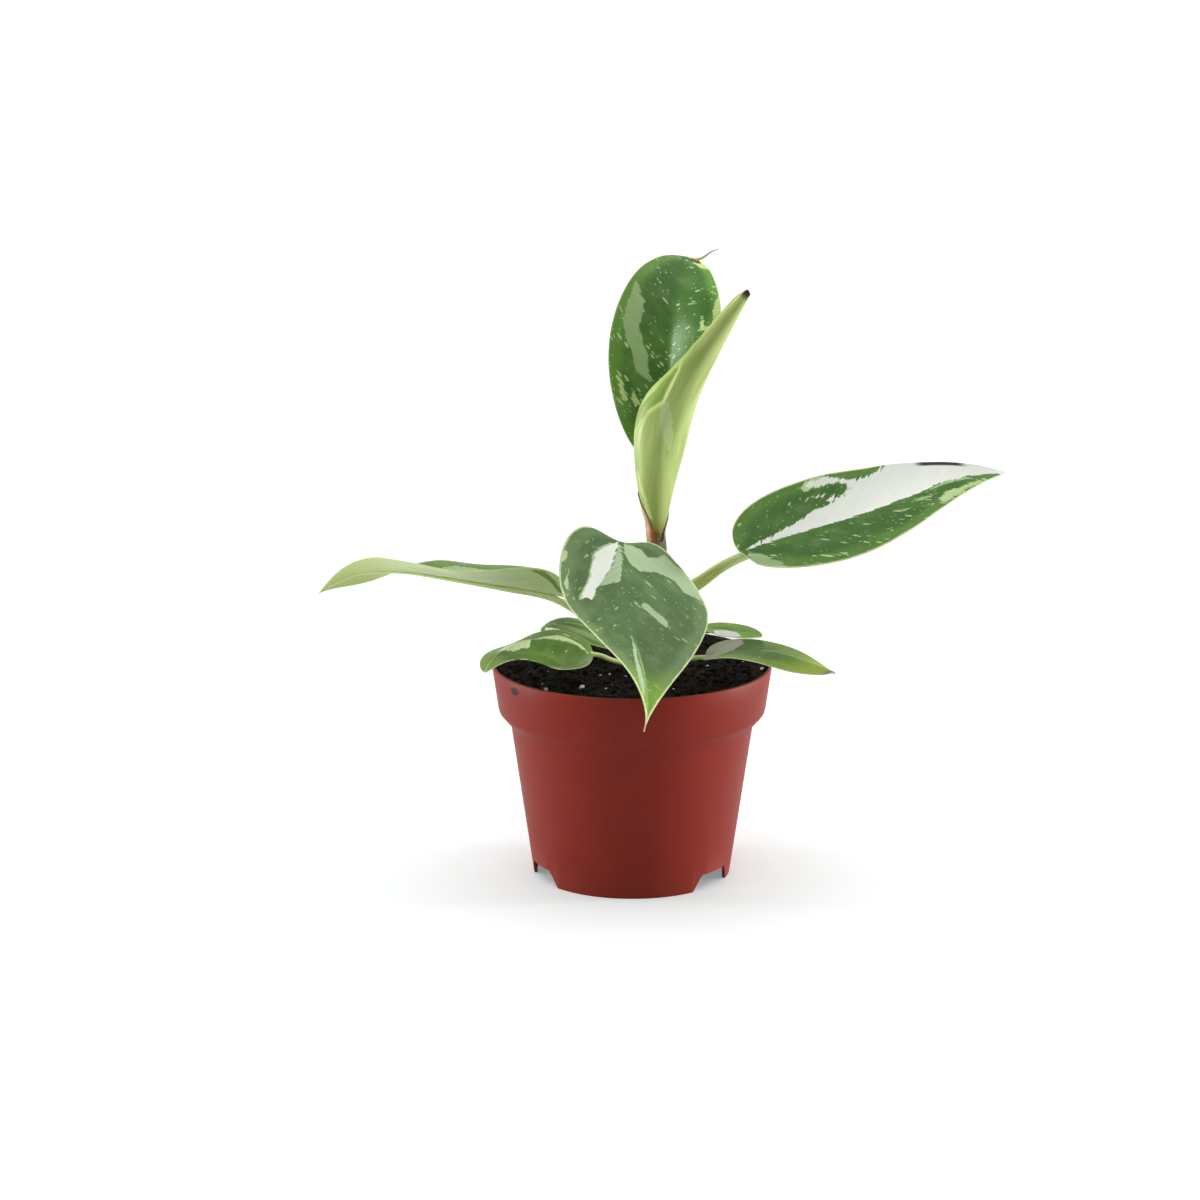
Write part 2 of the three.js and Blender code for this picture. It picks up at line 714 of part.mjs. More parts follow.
// A closed tube between an inner and an outer set of rings.
function sleeve(inner, outer) {
  const sides = inner[0].length;
  const rows = inner.length;
  const positions = [...inner, ...outer].flat().flatMap((point) => point.toArray());
  const index = [];
  const strip = (low, high) => {
    for (let j = 0; j < sides; j++) {
      const next = (j + 1) % sides;
      index.push(low + j, low + next, high + next, low + j, high + next, high + j);
    }
  };
  for (let i = 0; i < rows - 1; i++) {
    strip((i + 1) * sides, i * sides);
    strip((rows + i) * sides, (rows + i + 1) * sides);
  }
  strip(0, rows * sides);
  strip((2 * rows - 1) * sides, (rows - 1) * sides);
  const geometry = new THREE.BufferGeometry();
  geometry.setAttribute("position", new THREE.Float32BufferAttribute(positions, 3));
  geometry.setIndex(index);
  return toSolid(geometry);
}

const plant = new THREE.Group();
plant.add(piece("pot", makePot(), COLOURS.pot, 0.4));
plant.add(piece("soil", makeSoil(makeStem(FIT_GAP)), COLOURS.soil, 0.95));

let stem = makeStem(0);
for (const [name, shape] of Object.entries(LEAVES)) {
  const { leaf, socket } = makeLeaf(shape);
  stem = stem.subtract(socket);
  plant.add(piece(name, leaf, COLOURS.leaf, 0.45));
}
plant.add(piece("stem", stem, COLOURS.stem, 0.6));

const furled = { ...BLADE_DEFAULTS, ...FURLED_LEAF };
const furledStations = walkMidrib(furled);
plant.add(piece("leaf_furled", makeFurledLeaf(furled, furledStations), COLOURS.youngLeaf, 0.45));
plant.add(piece("sheath", makeSheath(furled, furledStations), COLOURS.sheath, 0.6));

const box = new THREE.Box3().setFromObject(plant);
const middle = box.getCenter(new THREE.Vector3());
plant.position.set(-middle.x, -middle.y, -box.min.z);

const philodendron = new THREE.Group();
philodendron.add(plant);

export default philodendron;
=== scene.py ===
"""A young white-splashed philodendron in a plastic nursery pot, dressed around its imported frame.

The sections follow the plant as it is put together: the pot, the peat, the stem, the leaves on
their stalks, the thread on the top leaf, the new leaf that is still rolled up, its dry sheath, and
the studio round them. Lengths are in millimetres from the pot's axis until `settle` turns them
into metres. A colour of three numbers is red, green and blue from 0 to 255; one of four numbers,
for the floor and the backdrop, is in linear light.
"""

import math

import bpy
import numpy as np
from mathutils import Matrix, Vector, noise


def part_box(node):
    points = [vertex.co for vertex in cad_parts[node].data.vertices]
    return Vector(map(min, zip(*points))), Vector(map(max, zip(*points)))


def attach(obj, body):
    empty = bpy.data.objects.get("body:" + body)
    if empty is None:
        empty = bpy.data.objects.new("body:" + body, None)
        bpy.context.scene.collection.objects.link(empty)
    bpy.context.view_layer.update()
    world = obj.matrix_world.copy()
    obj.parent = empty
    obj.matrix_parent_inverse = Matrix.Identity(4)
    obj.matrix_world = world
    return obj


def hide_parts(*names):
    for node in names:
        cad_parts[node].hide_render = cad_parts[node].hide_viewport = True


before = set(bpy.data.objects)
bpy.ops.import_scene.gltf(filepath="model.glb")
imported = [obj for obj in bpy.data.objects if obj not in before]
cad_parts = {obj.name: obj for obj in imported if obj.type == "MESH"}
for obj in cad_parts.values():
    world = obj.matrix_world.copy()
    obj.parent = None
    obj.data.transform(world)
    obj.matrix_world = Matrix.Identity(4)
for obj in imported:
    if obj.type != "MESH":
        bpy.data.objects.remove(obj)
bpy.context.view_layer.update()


# Pot ---------------------------------------------------------------------------------------------
# A thin-walled nursery pot, injection-moulded from terracotta-red polypropylene. Its rim band
# stiffens the mouth, and the raised base drains through six holes and three notches in the foot.

MM = 0.001
pot_low, pot_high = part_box("pot")
POT_AXIS = (pot_low + pot_high) / 2
POT_AXIS.z = 0.0

POT_HEIGHT = 81.0
POT_SIDES = 176
POT_CREASE = 38
WALL = 1.3
FOOT_RADIUS = 37.1
FOOT_ROUND = 0.25
BODY_TOP = (45.5, 58.0)
BAND_FOOT = (50.2, 64.0)
BAND_MIDDLE = 72.0
RIM_RADIUS = 52.5
LIP_RISE = 0.55
LIP_STEPS = 7
BASE_UNDERSIDE = 6.5
BASE_TOP = 7.7
NOTCH_BEARINGS = (-35, -155, 85)
NOTCH_OUTLINE = ((11.3, -1.0), (8.4, 4.6), (7.04, 6.2))
NOTCH_REACH = 8.0
DRAIN_HOLES = 6
DRAIN_SIDES = 32
DRAIN_RADIUS = 4.0
DRAIN_RING = 25.0
DRAIN_CUT = 1.4
SMEAR = (-43.4, -29.4, 77.4)


def settle(points):
    """Millimetres from the pot's axis, as metres in the frame."""
    return np.asarray(points, float) * MM + np.array(POT_AXIS)


def dress(piece, material, slot, *nodes):
    """Finishes a piece: its material, its body, and what it stands for in the frame."""
    piece.data.materials.clear()
    piece.data.materials.append(material)
    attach(piece, "root")
    if nodes:
        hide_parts(*nodes)


def add_piece(name, points, faces):
    """A smooth mesh object at the origin from points in millimetres round the pot's axis."""
    mesh = bpy.data.meshes.new(name)
    mesh.from_pydata(settle(points).tolist(), [], faces)
    mesh.validate()
    mesh.shade_smooth()
    piece = bpy.data.objects.new(name, mesh)
    bpy.context.scene.collection.objects.link(piece)
    return piece


def make_real(piece):
    """Puts the mesh that the piece's modifiers give in place of them."""
    bpy.context.view_layer.update()
    graph = bpy.context.evaluated_depsgraph_get()
    mesh = bpy.data.meshes.new_from_object(piece.evaluated_get(graph))
    piece.modifiers.clear()
    piece.data = mesh


def towards(bearing, elevation=0.0):
    """The unit vector at a bearing and an elevation in radians."""
    level = math.cos(elevation)
    return np.array([level * math.cos(bearing), level * math.sin(bearing), math.sin(elevation)])


def circle(count):
    """Evenly spaced angles all the way round."""
    return np.linspace(0, 2 * math.pi, count, endpoint=False)


def level_ring(radius, height, sides):
    return [radius * towards(angle) + (0, 0, height) for angle in circle(sides)]


def skin_of_rings(rings, closed=False):
    """Points and faces over rings of equal count: a fan on each end, or the last meets the first."""
    count = len(rings[0])
    points = [tuple(p) for ring in rings for p in ring]
    faces = []
    for i in range(len(rings) if closed else len(rings) - 1):
        low, high = i * count, (i + 1) % len(rings) * count
        for j in range(count):
            k = (j + 1) % count
            faces.append((low + j, low + k, high + k, high + j))
    if not closed:
        foot, top, last = len(points), len(points) + 1, len(points) - count
        points += [tuple(np.mean(rings[0], axis=0)), tuple(np.mean(rings[-1], axis=0))]
        faces = [(foot, (j + 1) % count, j) for j in range(count)] + faces
        faces += [(last + j, last + (j + 1) % count, top) for j in range(count)]
    return points, faces


def body_radius(height):
    return FOOT_RADIUS + (BODY_TOP[0] - FOOT_RADIUS) * height / BODY_TOP[1]


def band_radius(height):
    share = (height - BAND_FOOT[1]) / (POT_HEIGHT - BAND_FOOT[1])
    return BAND_FOOT[0] + (RIM_RADIUS - BAND_FOOT[0]) * share


def notch_cutter(bearing):
    """A wedge through the foot: wide at the floor, narrower and rounded at the top."""
    outline = [*NOTCH_OUTLINE, *((-side, height) for side, height in reversed(NOTCH_OUTLINE))]
    outward, sideways = towards(math.radians(bearing)), towards(math.radians(bearing + 90))
    rings = [[reach * outward + side * sideways + (0, 0, height) for side, height in outline]
             for reach in (FOOT_RADIUS - NOTCH_REACH, FOOT_RADIUS + NOTCH_REACH)]
    return add_piece("notch", *skin_of_rings(rings))


def drain_cutter(number):
    """A plug for one drain hole."""
    ends = (BASE_UNDERSIDE - DRAIN_CUT, BASE_TOP + DRAIN_CUT)
    points, faces = skin_of_rings([level_ring(DRAIN_RADIUS, height, DRAIN_SIDES) for height in ends])
    aside = DRAIN_RING * towards((number + 0.5) / DRAIN_HOLES * 2 * math.pi)
    return add_piece("drain", np.array(points) + aside, faces)


# From the underside of the base out over the wall and the rim, and back down inside.
pot_profile = [
    (body_radius(BASE_UNDERSIDE) - WALL, BASE_UNDERSIDE),
    (FOOT_RADIUS - WALL, 0.15),
    (FOOT_RADIUS - WALL + 0.2, 0),
    (FOOT_RADIUS - FOOT_ROUND, 0),
    (FOOT_RADIUS, FOOT_ROUND),
    (body_radius(20), 20),
    (body_radius(40), 40),
    (BODY_TOP[0] - 0.1, BODY_TOP[1] - 0.8),
    (BODY_TOP[0] + 0.35, BODY_TOP[1] + 0.5),
    (BODY_TOP[0] + 2.2, BODY_TOP[1] + 2.6),
    (BAND_FOOT[0] - 1.0, BAND_FOOT[1] - 1.7),
    (BAND_FOOT[0] - 0.3, BAND_FOOT[1] - 0.8),
    (BAND_FOOT[0], BAND_FOOT[1] + 0.4),
    (band_radius(BAND_MIDDLE), BAND_MIDDLE),
    *((RIM_RADIUS - WALL / 2 * (1 - math.cos(a)), POT_HEIGHT - LIP_RISE * (1 - math.sin(a)))
      for a in np.linspace(0, math.pi, LIP_STEPS)),
    (band_radius(BAND_MIDDLE) - WALL, BAND_MIDDLE),
    (BAND_FOOT[0] - WALL, BAND_FOOT[1] + 1.6),
    (BODY_TOP[0] - WALL, BODY_TOP[1] + 1.6),
    (body_radius(30) - WALL, 30),
    (body_radius(BASE_TOP) - WALL, BASE_TOP),
]
pot = add_piece("nursery_pot", *skin_of_rings([level_ring(r, h, POT_SIDES) for r, h in pot_profile]))
cutters = [notch_cutter(b) for b in NOTCH_BEARINGS] + [drain_cutter(n) for n in range(DRAIN_HOLES)]
for cutter in cutters:
    boolean = pot.modifiers.new("cut", "BOOLEAN")
    boolean.operation = "DIFFERENCE"
    boolean.solver = "EXACT"
    boolean.object = cutter
make_real(pot)
for cutter in cutters:
    bpy.data.objects.remove(cutter)
pot.data.shade_smooth()
pot.data.set_sharp_from_angle(angle=math.radians(POT_CREASE))


def srgb(red, green, blue):
    """A colour from 0 to 255 as a linear shader colour."""
    shares = [v / 255 for v in (red, green, blue)]
    return (*(((v + 0.055) / 1.055) ** 2.4 if v > 0.04 else v / 12.92 for v in shares), 1.0)


class Shader:
    """Lays out the nodes of a material or a node group, with their links."""

    def __init__(self, tree):
        self.tree = tree
        self.count = 0

    def add(self, kind, *inputs, **settings):
        """A node with its inputs in order: a value, a socket to link, or None to leave as it is."""
        node = self.tree.nodes.new(kind)
        self.count += 1
        node.location = (180 * (self.count % 12), -220 * (self.count // 12))
        for key, value in settings.items():
            setattr(node, key, value)
        for socket, value in zip(node.inputs, inputs):
            self.set(socket, value)
        return node

    def set(self, socket, value):
        if isinstance(value, bpy.types.NodeSocket):
            self.tree.links.new(value, socket)
        elif value is not None:
            is_paint = socket.type == "RGBA" and len(value) == 3
            socket.default_value = srgb(*value) if is_paint else value

    def fill(self, node, **values):
        """Sets a node's inputs by their names, written with _ for a blank, and gives its outputs."""
        for label, value in values.items():
            self.set(node.inputs[label.replace("_", " ")], value)
        return node.outputs

    def math(self, operation, *values):
        return self.add("ShaderNodeMath", *values, operation=operation).outputs[0]

    def plus(self, *values):
        return self.math("ADD", *values)

    def minus(self, *values):
        return self.math("SUBTRACT", *values)

    def times(self, *values):
        return self.math("MULTIPLY", *values)

    def off(self, value, middle):
        """How far a value is from a middle, either way."""
        return self.math("ABSOLUTE", self.minus(value, middle))

    def step(self, value, low, high, out_low=0.0, out_high=1.0):
        """A soft step from out_low at low to out_high at high."""
        numbers = (value, low, high, out_low, out_high)
        return self.add("ShaderNodeMapRange", *numbers, interpolation_type="SMOOTHSTEP").outputs[0]

    def vector(self, operation, *values):
        return self.add("ShaderNodeVectorMath", *values, operation=operation).outputs

    def distance(self, place, point, weights):
        """How far a place is from a point, with a weight on each axis."""
        apart = self.vector("SUBTRACT", place, tuple(point))[0]
        return self.vector("LENGTH", self.vector("MULTIPLY", apart, weights)[0])["Value"]

    def where(self):
        return self.add("ShaderNodeTexCoord").outputs["Object"]

    def parts(self, vector):
        """The three numbers of a vector."""
        return self.add("ShaderNodeSeparateXYZ", vector).outputs

    def attribute(self, name):
        return self.add("ShaderNodeAttribute", attribute_name=name).outputs["Vector"]

    def cloud(self, place, scale, detail=2.0, roughness=0.5, stretch=None):
        """Noise from 0 to 1, drawn out along each axis whose stretch is small."""
        if stretch:
            place = self.vector("MULTIPLY", place, stretch)[0]
        node = self.add("ShaderNodeTexNoise")
        return self.fill(node, Vector=place, Scale=scale, Detail=detail, Roughness=roughness)["Fac"]

    def blend(self, factor, first, second):
        """Mixes two colours."""
        node = self.add("ShaderNodeMix", data_type="RGBA")
        for number, value in ((0, factor), (6, first), (7, second)):
            self.set(node.inputs[number], value)
        return node.outputs[2]

    def coats(self, tone, *coats):
        """Lays colours over a first one: each a colour, its mask and, if it is thin, its share."""
        for colour, mask, *share in coats:
            tone = self.blend(self.times(mask, *share) if share else mask, tone, colour)
        return tone

    def use(self, group, **values):
        """Places a node group with its own values, and gives its outputs."""
        node = self.add("ShaderNodeGroup", node_tree=bpy.data.node_groups[group])
        return self.fill(node, **values)

    def finish(self, tone, roughness, relief, strength, depth, **values):
        """Gives the Principled BSDF its colour, its roughness, its relief and its other values."""
        bump = self.add("ShaderNodeBump", strength, depth)
        normal = self.fill(bump, Height=relief)[0]
        bsdf = self.tree.nodes["Principled BSDF"]
        self.fill(bsdf, Base_Color=tone, Roughness=roughness, Normal=normal, **values)


def new_material(name):
    """A material with a bare Principled BSDF, and the helper for its nodes."""
    material = bpy.data.materials.new(name)
    material.use_nodes = True
    return material, Shader(material.node_tree)


def new_group(name, inputs, outputs):
    """A shader node group: the helper for its nodes, its input sockets and its output node."""
    tree = bpy.data.node_groups.new(name, "ShaderNodeTree")
    for label, value in inputs.items():
        kind = "NodeSocketVector" if isinstance(value, tuple) else "NodeSocketFloat"
        tree.interface.new_socket(label, in_out="INPUT", socket_type=kind).default_value = value
    for label in outputs:
        tree.interface.new_socket(label, in_out="OUTPUT", socket_type="NodeSocketFloat")
    shader = Shader(tree)
    return shader, shader.add("NodeGroupInput").outputs, shader.add("NodeGroupOutput")


# Dust and splashes of peat, used on the pot and the stem.
dust, knobs, result = new_group("Peat Splash", {"Amount": 0.5, "Grain": 900.0, "Highest": 0.08},
                                ("Dust", "Speck"))
where = dust.where()
film = dust.times(dust.cloud(where, 60, 4, 0.6), knobs["Amount"])
specks = dust.step(dust.cloud(where, knobs["Grain"]), 0.70, 0.74)
near_top = dust.step(dust.minus(knobs["Highest"], dust.parts(where)[2]), 0.012, 0.0)
patchy = dust.step(dust.cloud(where, 90), 0.50, 0.62)
speck = dust.times(dust.times(dust.times(specks, patchy), near_top), knobs["Amount"])
dust.fill(result, Dust=film, Speck=speck)

pot_plastic, shader = new_material("terracotta plastic")
where = shader.where()
splash = shader.use("Peat Splash", Amount=0.8, Grain=1400.0, Highest=POT_HEIGHT * MM)
drawn = shader.cloud(where, 700, 2, 0.6, stretch=(1, 1, 0.06))
mottle = shader.cloud(where, 45, 3, 0.55)
# Painted highlight: the convex edges, the top of the rim's lip most of all, are lightened to a pale pink as
# if they caught the light.
edge_highlight = shader.step(shader.add("ShaderNodeNewGeometry").outputs["Pointiness"], 0.52, 0.60)
tone = shader.coats(
    shader.blend(mottle, (118, 22, 6), (131, 28, 8)),
    ((120, 32, 19), drawn, 0.25),
    ((176, 132, 116), splash["Dust"], 0.06),
    # the painted highlight on the convex edges
    ((190, 104, 86), edge_highlight, 0.35),
    ((34, 26, 22), splash["Speck"]),
)

# The inside of the rim band is darkened almost to black: all that lies within the middle of its wall.
band_slope = (RIM_RADIUS - BAND_FOOT[0]) / (POT_HEIGHT - BAND_FOOT[1])
wall_middle = BAND_FOOT[0] - BAND_FOOT[1] * band_slope - WALL / 2
height = shader.parts(where)[2]
wall = shader.math("MULTIPLY_ADD", height, -band_slope, shader.distance(where, POT_AXIS, (1, 1, 0)))
darkened_inside = shader.step(wall, (wall_middle + 0.2) * MM, (wall_middle - 0.2) * MM, 0.0, 0.9)
darkened_inside = shader.times(darkened_inside, shader.math("GREATER_THAN", height, (BAND_FOOT[1] + 1) * MM))
tone = shader.coats(tone, ((30, 22, 18), darkened_inside))

# A smear of wet peat on the rim at the left.
smear = shader.distance(where, settle(SMEAR), (0.7, 0.7, 1.3))
smear = shader.plus(smear, shader.times(shader.cloud(where, 600, 3, 0.6), 0.0032))
tone = shader.coats(tone, ((30, 10, 6), shader.step(smear, 0.0038, 0.0030)))

gloss = shader.plus(shader.plus(0.36, shader.times(mottle, 0.12)), shader.times(splash["Dust"], 0.14))
skin = shader.plus(shader.cloud(where, 2600), shader.times(drawn, 0.5))
shader.finish(tone, gloss, skin, strength=0.10, depth=0.0002, Specular_IOR_Level=0.17)
dress(pot, pot_plastic, "pot", "pot")


# Soil --------------------------------------------------------------------------------------------
# Dark peat, filled in by hand almost up to the rim round the roots, and watered until it settled
# unevenly. It fills the pot down to the raised base.

SOIL_TOP = 78.4
SOIL_SLOPE = 0.022
SOIL_RINGS = 64
SOIL_SIDES = 150
SOIL_GAP = 0.3
SOIL_EDGE = band_radius(SOIL_TOP) - WALL - SOIL_GAP


def soil_height(x, y):
    """The height of the peat at a place, with its waves and its lumps."""
    broad = math.sin(x * 0.11 + 1.3) * math.sin(y * 0.13 - 0.4)
    medium = math.sin(x * 0.53 + y * 0.29) * math.sin(y * 0.61 - x * 0.17 + 2.1)
    lumps = noise.fractal(Vector((x, y, 3.0)) * 0.32, 0.6, 2.1, 4)
    return SOIL_TOP + SOIL_SLOPE * y + 0.8 * broad + 0.5 * medium + 0.55 * lumps


soil_profile = [
    (body_radius(BASE_UNDERSIDE) - WALL - SOIL_GAP, BASE_TOP + SOIL_GAP),
    (BODY_TOP[0] - WALL - SOIL_GAP, BODY_TOP[1] + 1.9),
    (BAND_FOOT[0] - WALL - SOIL_GAP, BAND_FOOT[1] + 1.9),
    (SOIL_EDGE - 0.2, SOIL_TOP - 2.6),
    *((SOIL_EDGE * share, SOIL_TOP) for share in np.linspace(0.995, 0, SOIL_RINGS)[:-1]),
]
points, faces = skin_of_rings([level_ring(r, h, SOIL_SIDES) for r, h in soil_profile])
points = [(x, y, z if z < SOIL_TOP - 1 else soil_height(x, y)) for x, y, z in points]
soil = add_piece("peat", points, faces)

peat, shader = new_material("damp peat")
where = shader.where()
lumps = shader.cloud(where, 420, 5, 0.62)
grains = shader.cloud(where, 1900, 3, 0.6)
tone = shader.blend(lumps, (14, 10, 7), (40, 31, 24))
tone = shader.coats(tone, ((66, 50, 36), shader.step(grains, 0.60, 0.74)))
relief = shader.plus(lumps, shader.times(grains, 0.6))
shader.finish(tone, shader.step(lumps, 0.3, 0.7, 0.62, 0.95), relief, strength=0.9, depth=0.0012,
              Specular_IOR_Level=0.12)
dress(soil, peat, "soil", "soil")


# Loose grains ------------------------------------------------------------------------------------
# Crumbs of the same peat, and a few grains of white expanded perlite that was mixed in to keep it
# airy. Both lie loose on the soil, where watering has washed them clean.

GRAIN_ROUGHNESS = 0.0011
SMALLEST_GRAIN = 0.35 * MM


def scatter_tree(name, material):
    """A node tree that strews irregular grains over the top of a surface."""
    tree = bpy.data.node_groups.new(name, "GeometryNodeTree")
    kinds = {"Geometry": "Geometry", "Seed": "Int"}
    for label in ("Geometry", "Grains per m2", "Smallest", "Largest", "Lowest", "Flatness", "Seed"):
        kind = "NodeSocket" + kinds.get(label, "Float")
        tree.interface.new_socket(label, in_out="INPUT", socket_type=kind)
    tree.interface.new_socket("Geometry", in_out="OUTPUT", socket_type="NodeSocketGeometry")
    lay = Shader(tree)
    knobs = lay.add("NodeGroupInput").outputs
    height = lay.parts(lay.add("GeometryNodeInputPosition").outputs[0])[2]
    normal = lay.add("GeometryNodeInputNormal").outputs[0]
    high_enough = lay.math("GREATER_THAN", height, knobs["Lowest"])
    on_top = lay.times(high_enough, lay.math("GREATER_THAN", lay.parts(normal)[2], 0.3))
    strewn = lay.fill(lay.add("GeometryNodeDistributePointsOnFaces"), Mesh=knobs["Geometry"],
                      Selection=on_top, Density=knobs["Grains per m2"], Seed=knobs["Seed"])["Points"]

    random_size = lay.add("FunctionNodeRandomValue", data_type="FLOAT")
    lay.fill(random_size, Seed=knobs["Seed"])
    skewed = lay.math("POWER", random_size.outputs[1], 2.2)
    size_range = lay.minus(knobs["Largest"], knobs["Smallest"])
    size = lay.math("MULTIPLY_ADD", skewed, size_range, knobs["Smallest"])
    turn = lay.add("FunctionNodeRandomValue", None, (6.28, 6.28, 6.28), data_type="FLOAT_VECTOR")
    lay.fill(turn, Seed=knobs["Seed"])

    ball = lay.add("GeometryNodeMeshIcoSphere", 1.0, 2).outputs[0]
    depth = lay.minus(1.0, lay.times(knobs["Flatness"], 0.4))
    squash = lay.add("ShaderNodeCombineXYZ", 1.0, depth, lay.minus(1.0, knobs["Flatness"])).outputs[0]
    grain = lay.fill(lay.add("GeometryNodeTransform", ball), Scale=squash)[0]
    placed = lay.fill(lay.add("GeometryNodeInstanceOnPoints"), Points=strewn, Instance=grain,
                      Rotation=turn.outputs[0], Scale=size)[0]
    real = lay.add("GeometryNodeRealizeInstances", placed).outputs[0]
    rough = lay.fill(lay.add("ShaderNodeTexNoise"), Scale=900.0, Detail=1.0)["Fac"]
    push = lay.times(lay.minus(rough, 0.5), GRAIN_ROUGHNESS)
    away = lay.fill(lay.add("ShaderNodeVectorMath", normal, operation="SCALE"), Scale=push)[0]
    shaped = lay.fill(lay.add("GeometryNodeSetPosition", real), Offset=away)[0]
    coloured = lay.add("GeometryNodeSetMaterial", shaped)
    coloured.inputs["Material"].default_value = material
    lay.add("NodeGroupOutput", coloured.outputs[0])
    return tree


def strew(name, ground, material, **values):
    """A new piece of grains on a surface: the tree is run once and made a plain mesh."""
    piece = bpy.data.objects.new(name, ground.data.copy())
    bpy.context.scene.collection.objects.link(piece)
    modifier = piece.modifiers.new("strew", "NODES")
    modifier.node_group = scatter_tree(name.replace("_", " ").title(), material)
    items = modifier.node_group.interface.items_tree
    sockets = {item.name: item.identifier for item in items if item.in_out == "INPUT"}
    for label, value in values.items():
        modifier[sockets[label.replace("_", " ")]] = value
    make_real(piece)
    dress(piece, material, "soil")


strew("peat_crumbs", soil, peat, Grains_per_m2=150000.0, Smallest=SMALLEST_GRAIN, Largest=1.7 * MM,
      Lowest=(SOIL_TOP - 2.2) * MM, Flatness=0.3, Seed=7)

perlite, shader = new_material("perlite")
pores = shader.cloud(shader.where(), 2600, 3, 0.6)
tone = shader.blend(pores, (196, 192, 184), (244, 243, 240))
shader.finish(tone, shader.step(pores, 0.2, 0.8, 0.7, 0.95), pores, strength=0.8, depth=0.0006)
strew("perlite_grains", soil, perlite, Grains_per_m2=3800.0, Smallest=SMALLEST_GRAIN, Largest=1.2 * MM,
      Lowest=(SOIL_TOP - 2.0) * MM, Flatness=0.15, Seed=23)


# Stem --------------------------------------------------------------------------------------------
# A short upright stem that grows by one ring, or node, with every leaf. Its skin is smooth and
# olive green, browner low down, with a pale scar line above each ring.

STEM_FOOT = 62.0
STEM_TOP = 121.0
STEM_X = (3.6, 5, 7, 9.2)
STEM_Y = (-1.6, -2.3, -3.2, -4.6)
STEM_RADII = (5.6, 6.4, 5.6, 5.2)
STEM_NODES = (80, 85, 90, 102, 110)
NODE_SWELL = 0.5
NODE_HEIGHT = 1.3
STEM_RINGS = 120
STEM_SIDES = 40
STEM_ROUND = 0.8
STEM_TAPER = 0.5
STEM_RIDGES = 0.12


def along(keys, t):
    """A smooth value through evenly spaced keys, for t from 0 to 1; t may be an array."""
    keys = np.asarray(keys, float)
    t = np.asarray(t, float)
    spans = len(keys) - 1
    if spans == 0:
        return np.full(t.shape, keys[0])
    place = np.clip(t, 0, 1) * spans
    i = np.minimum(place.astype(int), spans - 1)
    f = place - i
    start, end = keys[i], keys[i + 1]
    slope_in = np.where(i == 0, end - start, (end - keys[np.maximum(i - 1, 0)]) / 2)
    slope_out = np.where(i == spans - 1, end - start, (keys[np.minimum(i + 2, spans)] - start) / 2)
    bend_in, bend_out = f**3 - 2 * f**2 + f, f**3 - f**2
    return start + (3 * f**2 - 2 * f**3) * (end - start) + bend_in * slope_in + bend_out * slope_out


def stem_axis(height):
    share = (height - STEM_FOOT) / (STEM_TOP - STEM_FOOT)
    return np.array([along(STEM_X, share), along(STEM_Y, share), height], float)


def stem_radius(height):
    share = (height - STEM_FOOT) / (STEM_TOP - STEM_FOOT)
    swell = sum(math.exp(-(((height - node) / NODE_HEIGHT) ** 2)) for node in STEM_NODES)
    return float(along(STEM_RADII, share)) + NODE_SWELL * swell


rings = []
for height in np.linspace(STEM_FOOT, STEM_TOP, STEM_RINGS):
    radius = stem_radius(height) - STEM_TAPER * max(0.0, height - STEM_TOP + STEM_ROUND)
    ring = []
    for angle in circle(STEM_SIDES):
        ridge = STEM_RIDGES * noise.noise(Vector(towards(angle) * 2 + (0, 0, height * 0.11)))
        ring.append(stem_axis(height) + (radius + ridge) * towards(angle))
    rings.append(ring)
stem = add_piece("stem", *skin_of_rings(rings))

stem_skin, shader = new_material("stem skin")
where = shader.where()
height = shader.parts(where)[2]
streaks = shader.cloud(where, 420, 3, 0.55, stretch=(1, 1, 0.15))
tone = shader.blend(streaks, (96, 112, 52), (140, 150, 82))
tone = shader.coats(tone, ((104, 82, 50), shader.step(height, 0.104, 0.080), 0.75))
for node in STEM_NODES:
    scar_and_rim_shade = shader.step(shader.off(height, (node + NODE_HEIGHT) * MM), 0.0007, 0.0002)
    tone = shader.coats(tone, ((176, 158, 112), scar_and_rim_shade, 0.6))
splash = shader.use("Peat Splash", Amount=0.9, Grain=1100.0, Highest=0.09)
tone = shader.coats(tone, ((34, 26, 20), splash["Speck"]))
shader.finish(tone, shader.step(streaks, 0.2, 0.8, 0.38, 0.58), streaks, strength=0.35, depth=0.0004)
dress(stem, stem_skin, "stem", "stem")


# Leaves ------------------------------------------------------------------------------------------
# Thin, waxy, heart-shaped blades, each grown as one piece with its grooved stalk and its midrib.
# The green tissue is missing in sectors and flecks, so the blade is white, cream or grey-green there.

BLADE_DEFAULTS = {
    "turn": [0], "twist": [0], "foldL": [0], "foldR": [0], "curlL": [0], "curlR": [0],
    "roundness": 0.5, "lobe": 1.0, "rows": 104, "columns": 46, "stalkRadii": [1.2, 0.9],
}
WALK_STEPS = 200
BLADE_MIDDLE = 0.62
BLADE_MARGIN = 0.30
LOBE_REACH = 0.16
LOBE_START = 0.02
LOBE_POWER = 1.5
MARGIN_WAVE = 0.8
MARGIN_WAVE_SCALE = 0.055
VEIN_QUILT = 0.16
VEIN_QUILT_SCALE = 0.22
RIB_CHANNEL = 0.22
RIB_CHANNEL_WIDTH = 1.1
RIB_RADII = (0.34, 0.2)
RIB_DEPTH = (0.34, 0.86)
RIB_STATIONS = (0.05, 0.22, 0.42, 0.6, 0.8, 0.94)
STALK_ROOT = 2.6
STALK_RINGS = 96
STALK_SIDES = 20
STALK_GROOVE = 0.3
GROOVE_WIDTH = 0.5
VEIN_SLANT = 0.62
VEIN_SWEEP = 1.12
FAR_OUTSIDE = -6.0


def unit(vectors):
    return vectors / np.linalg.norm(vectors, axis=-1, keepdims=True)


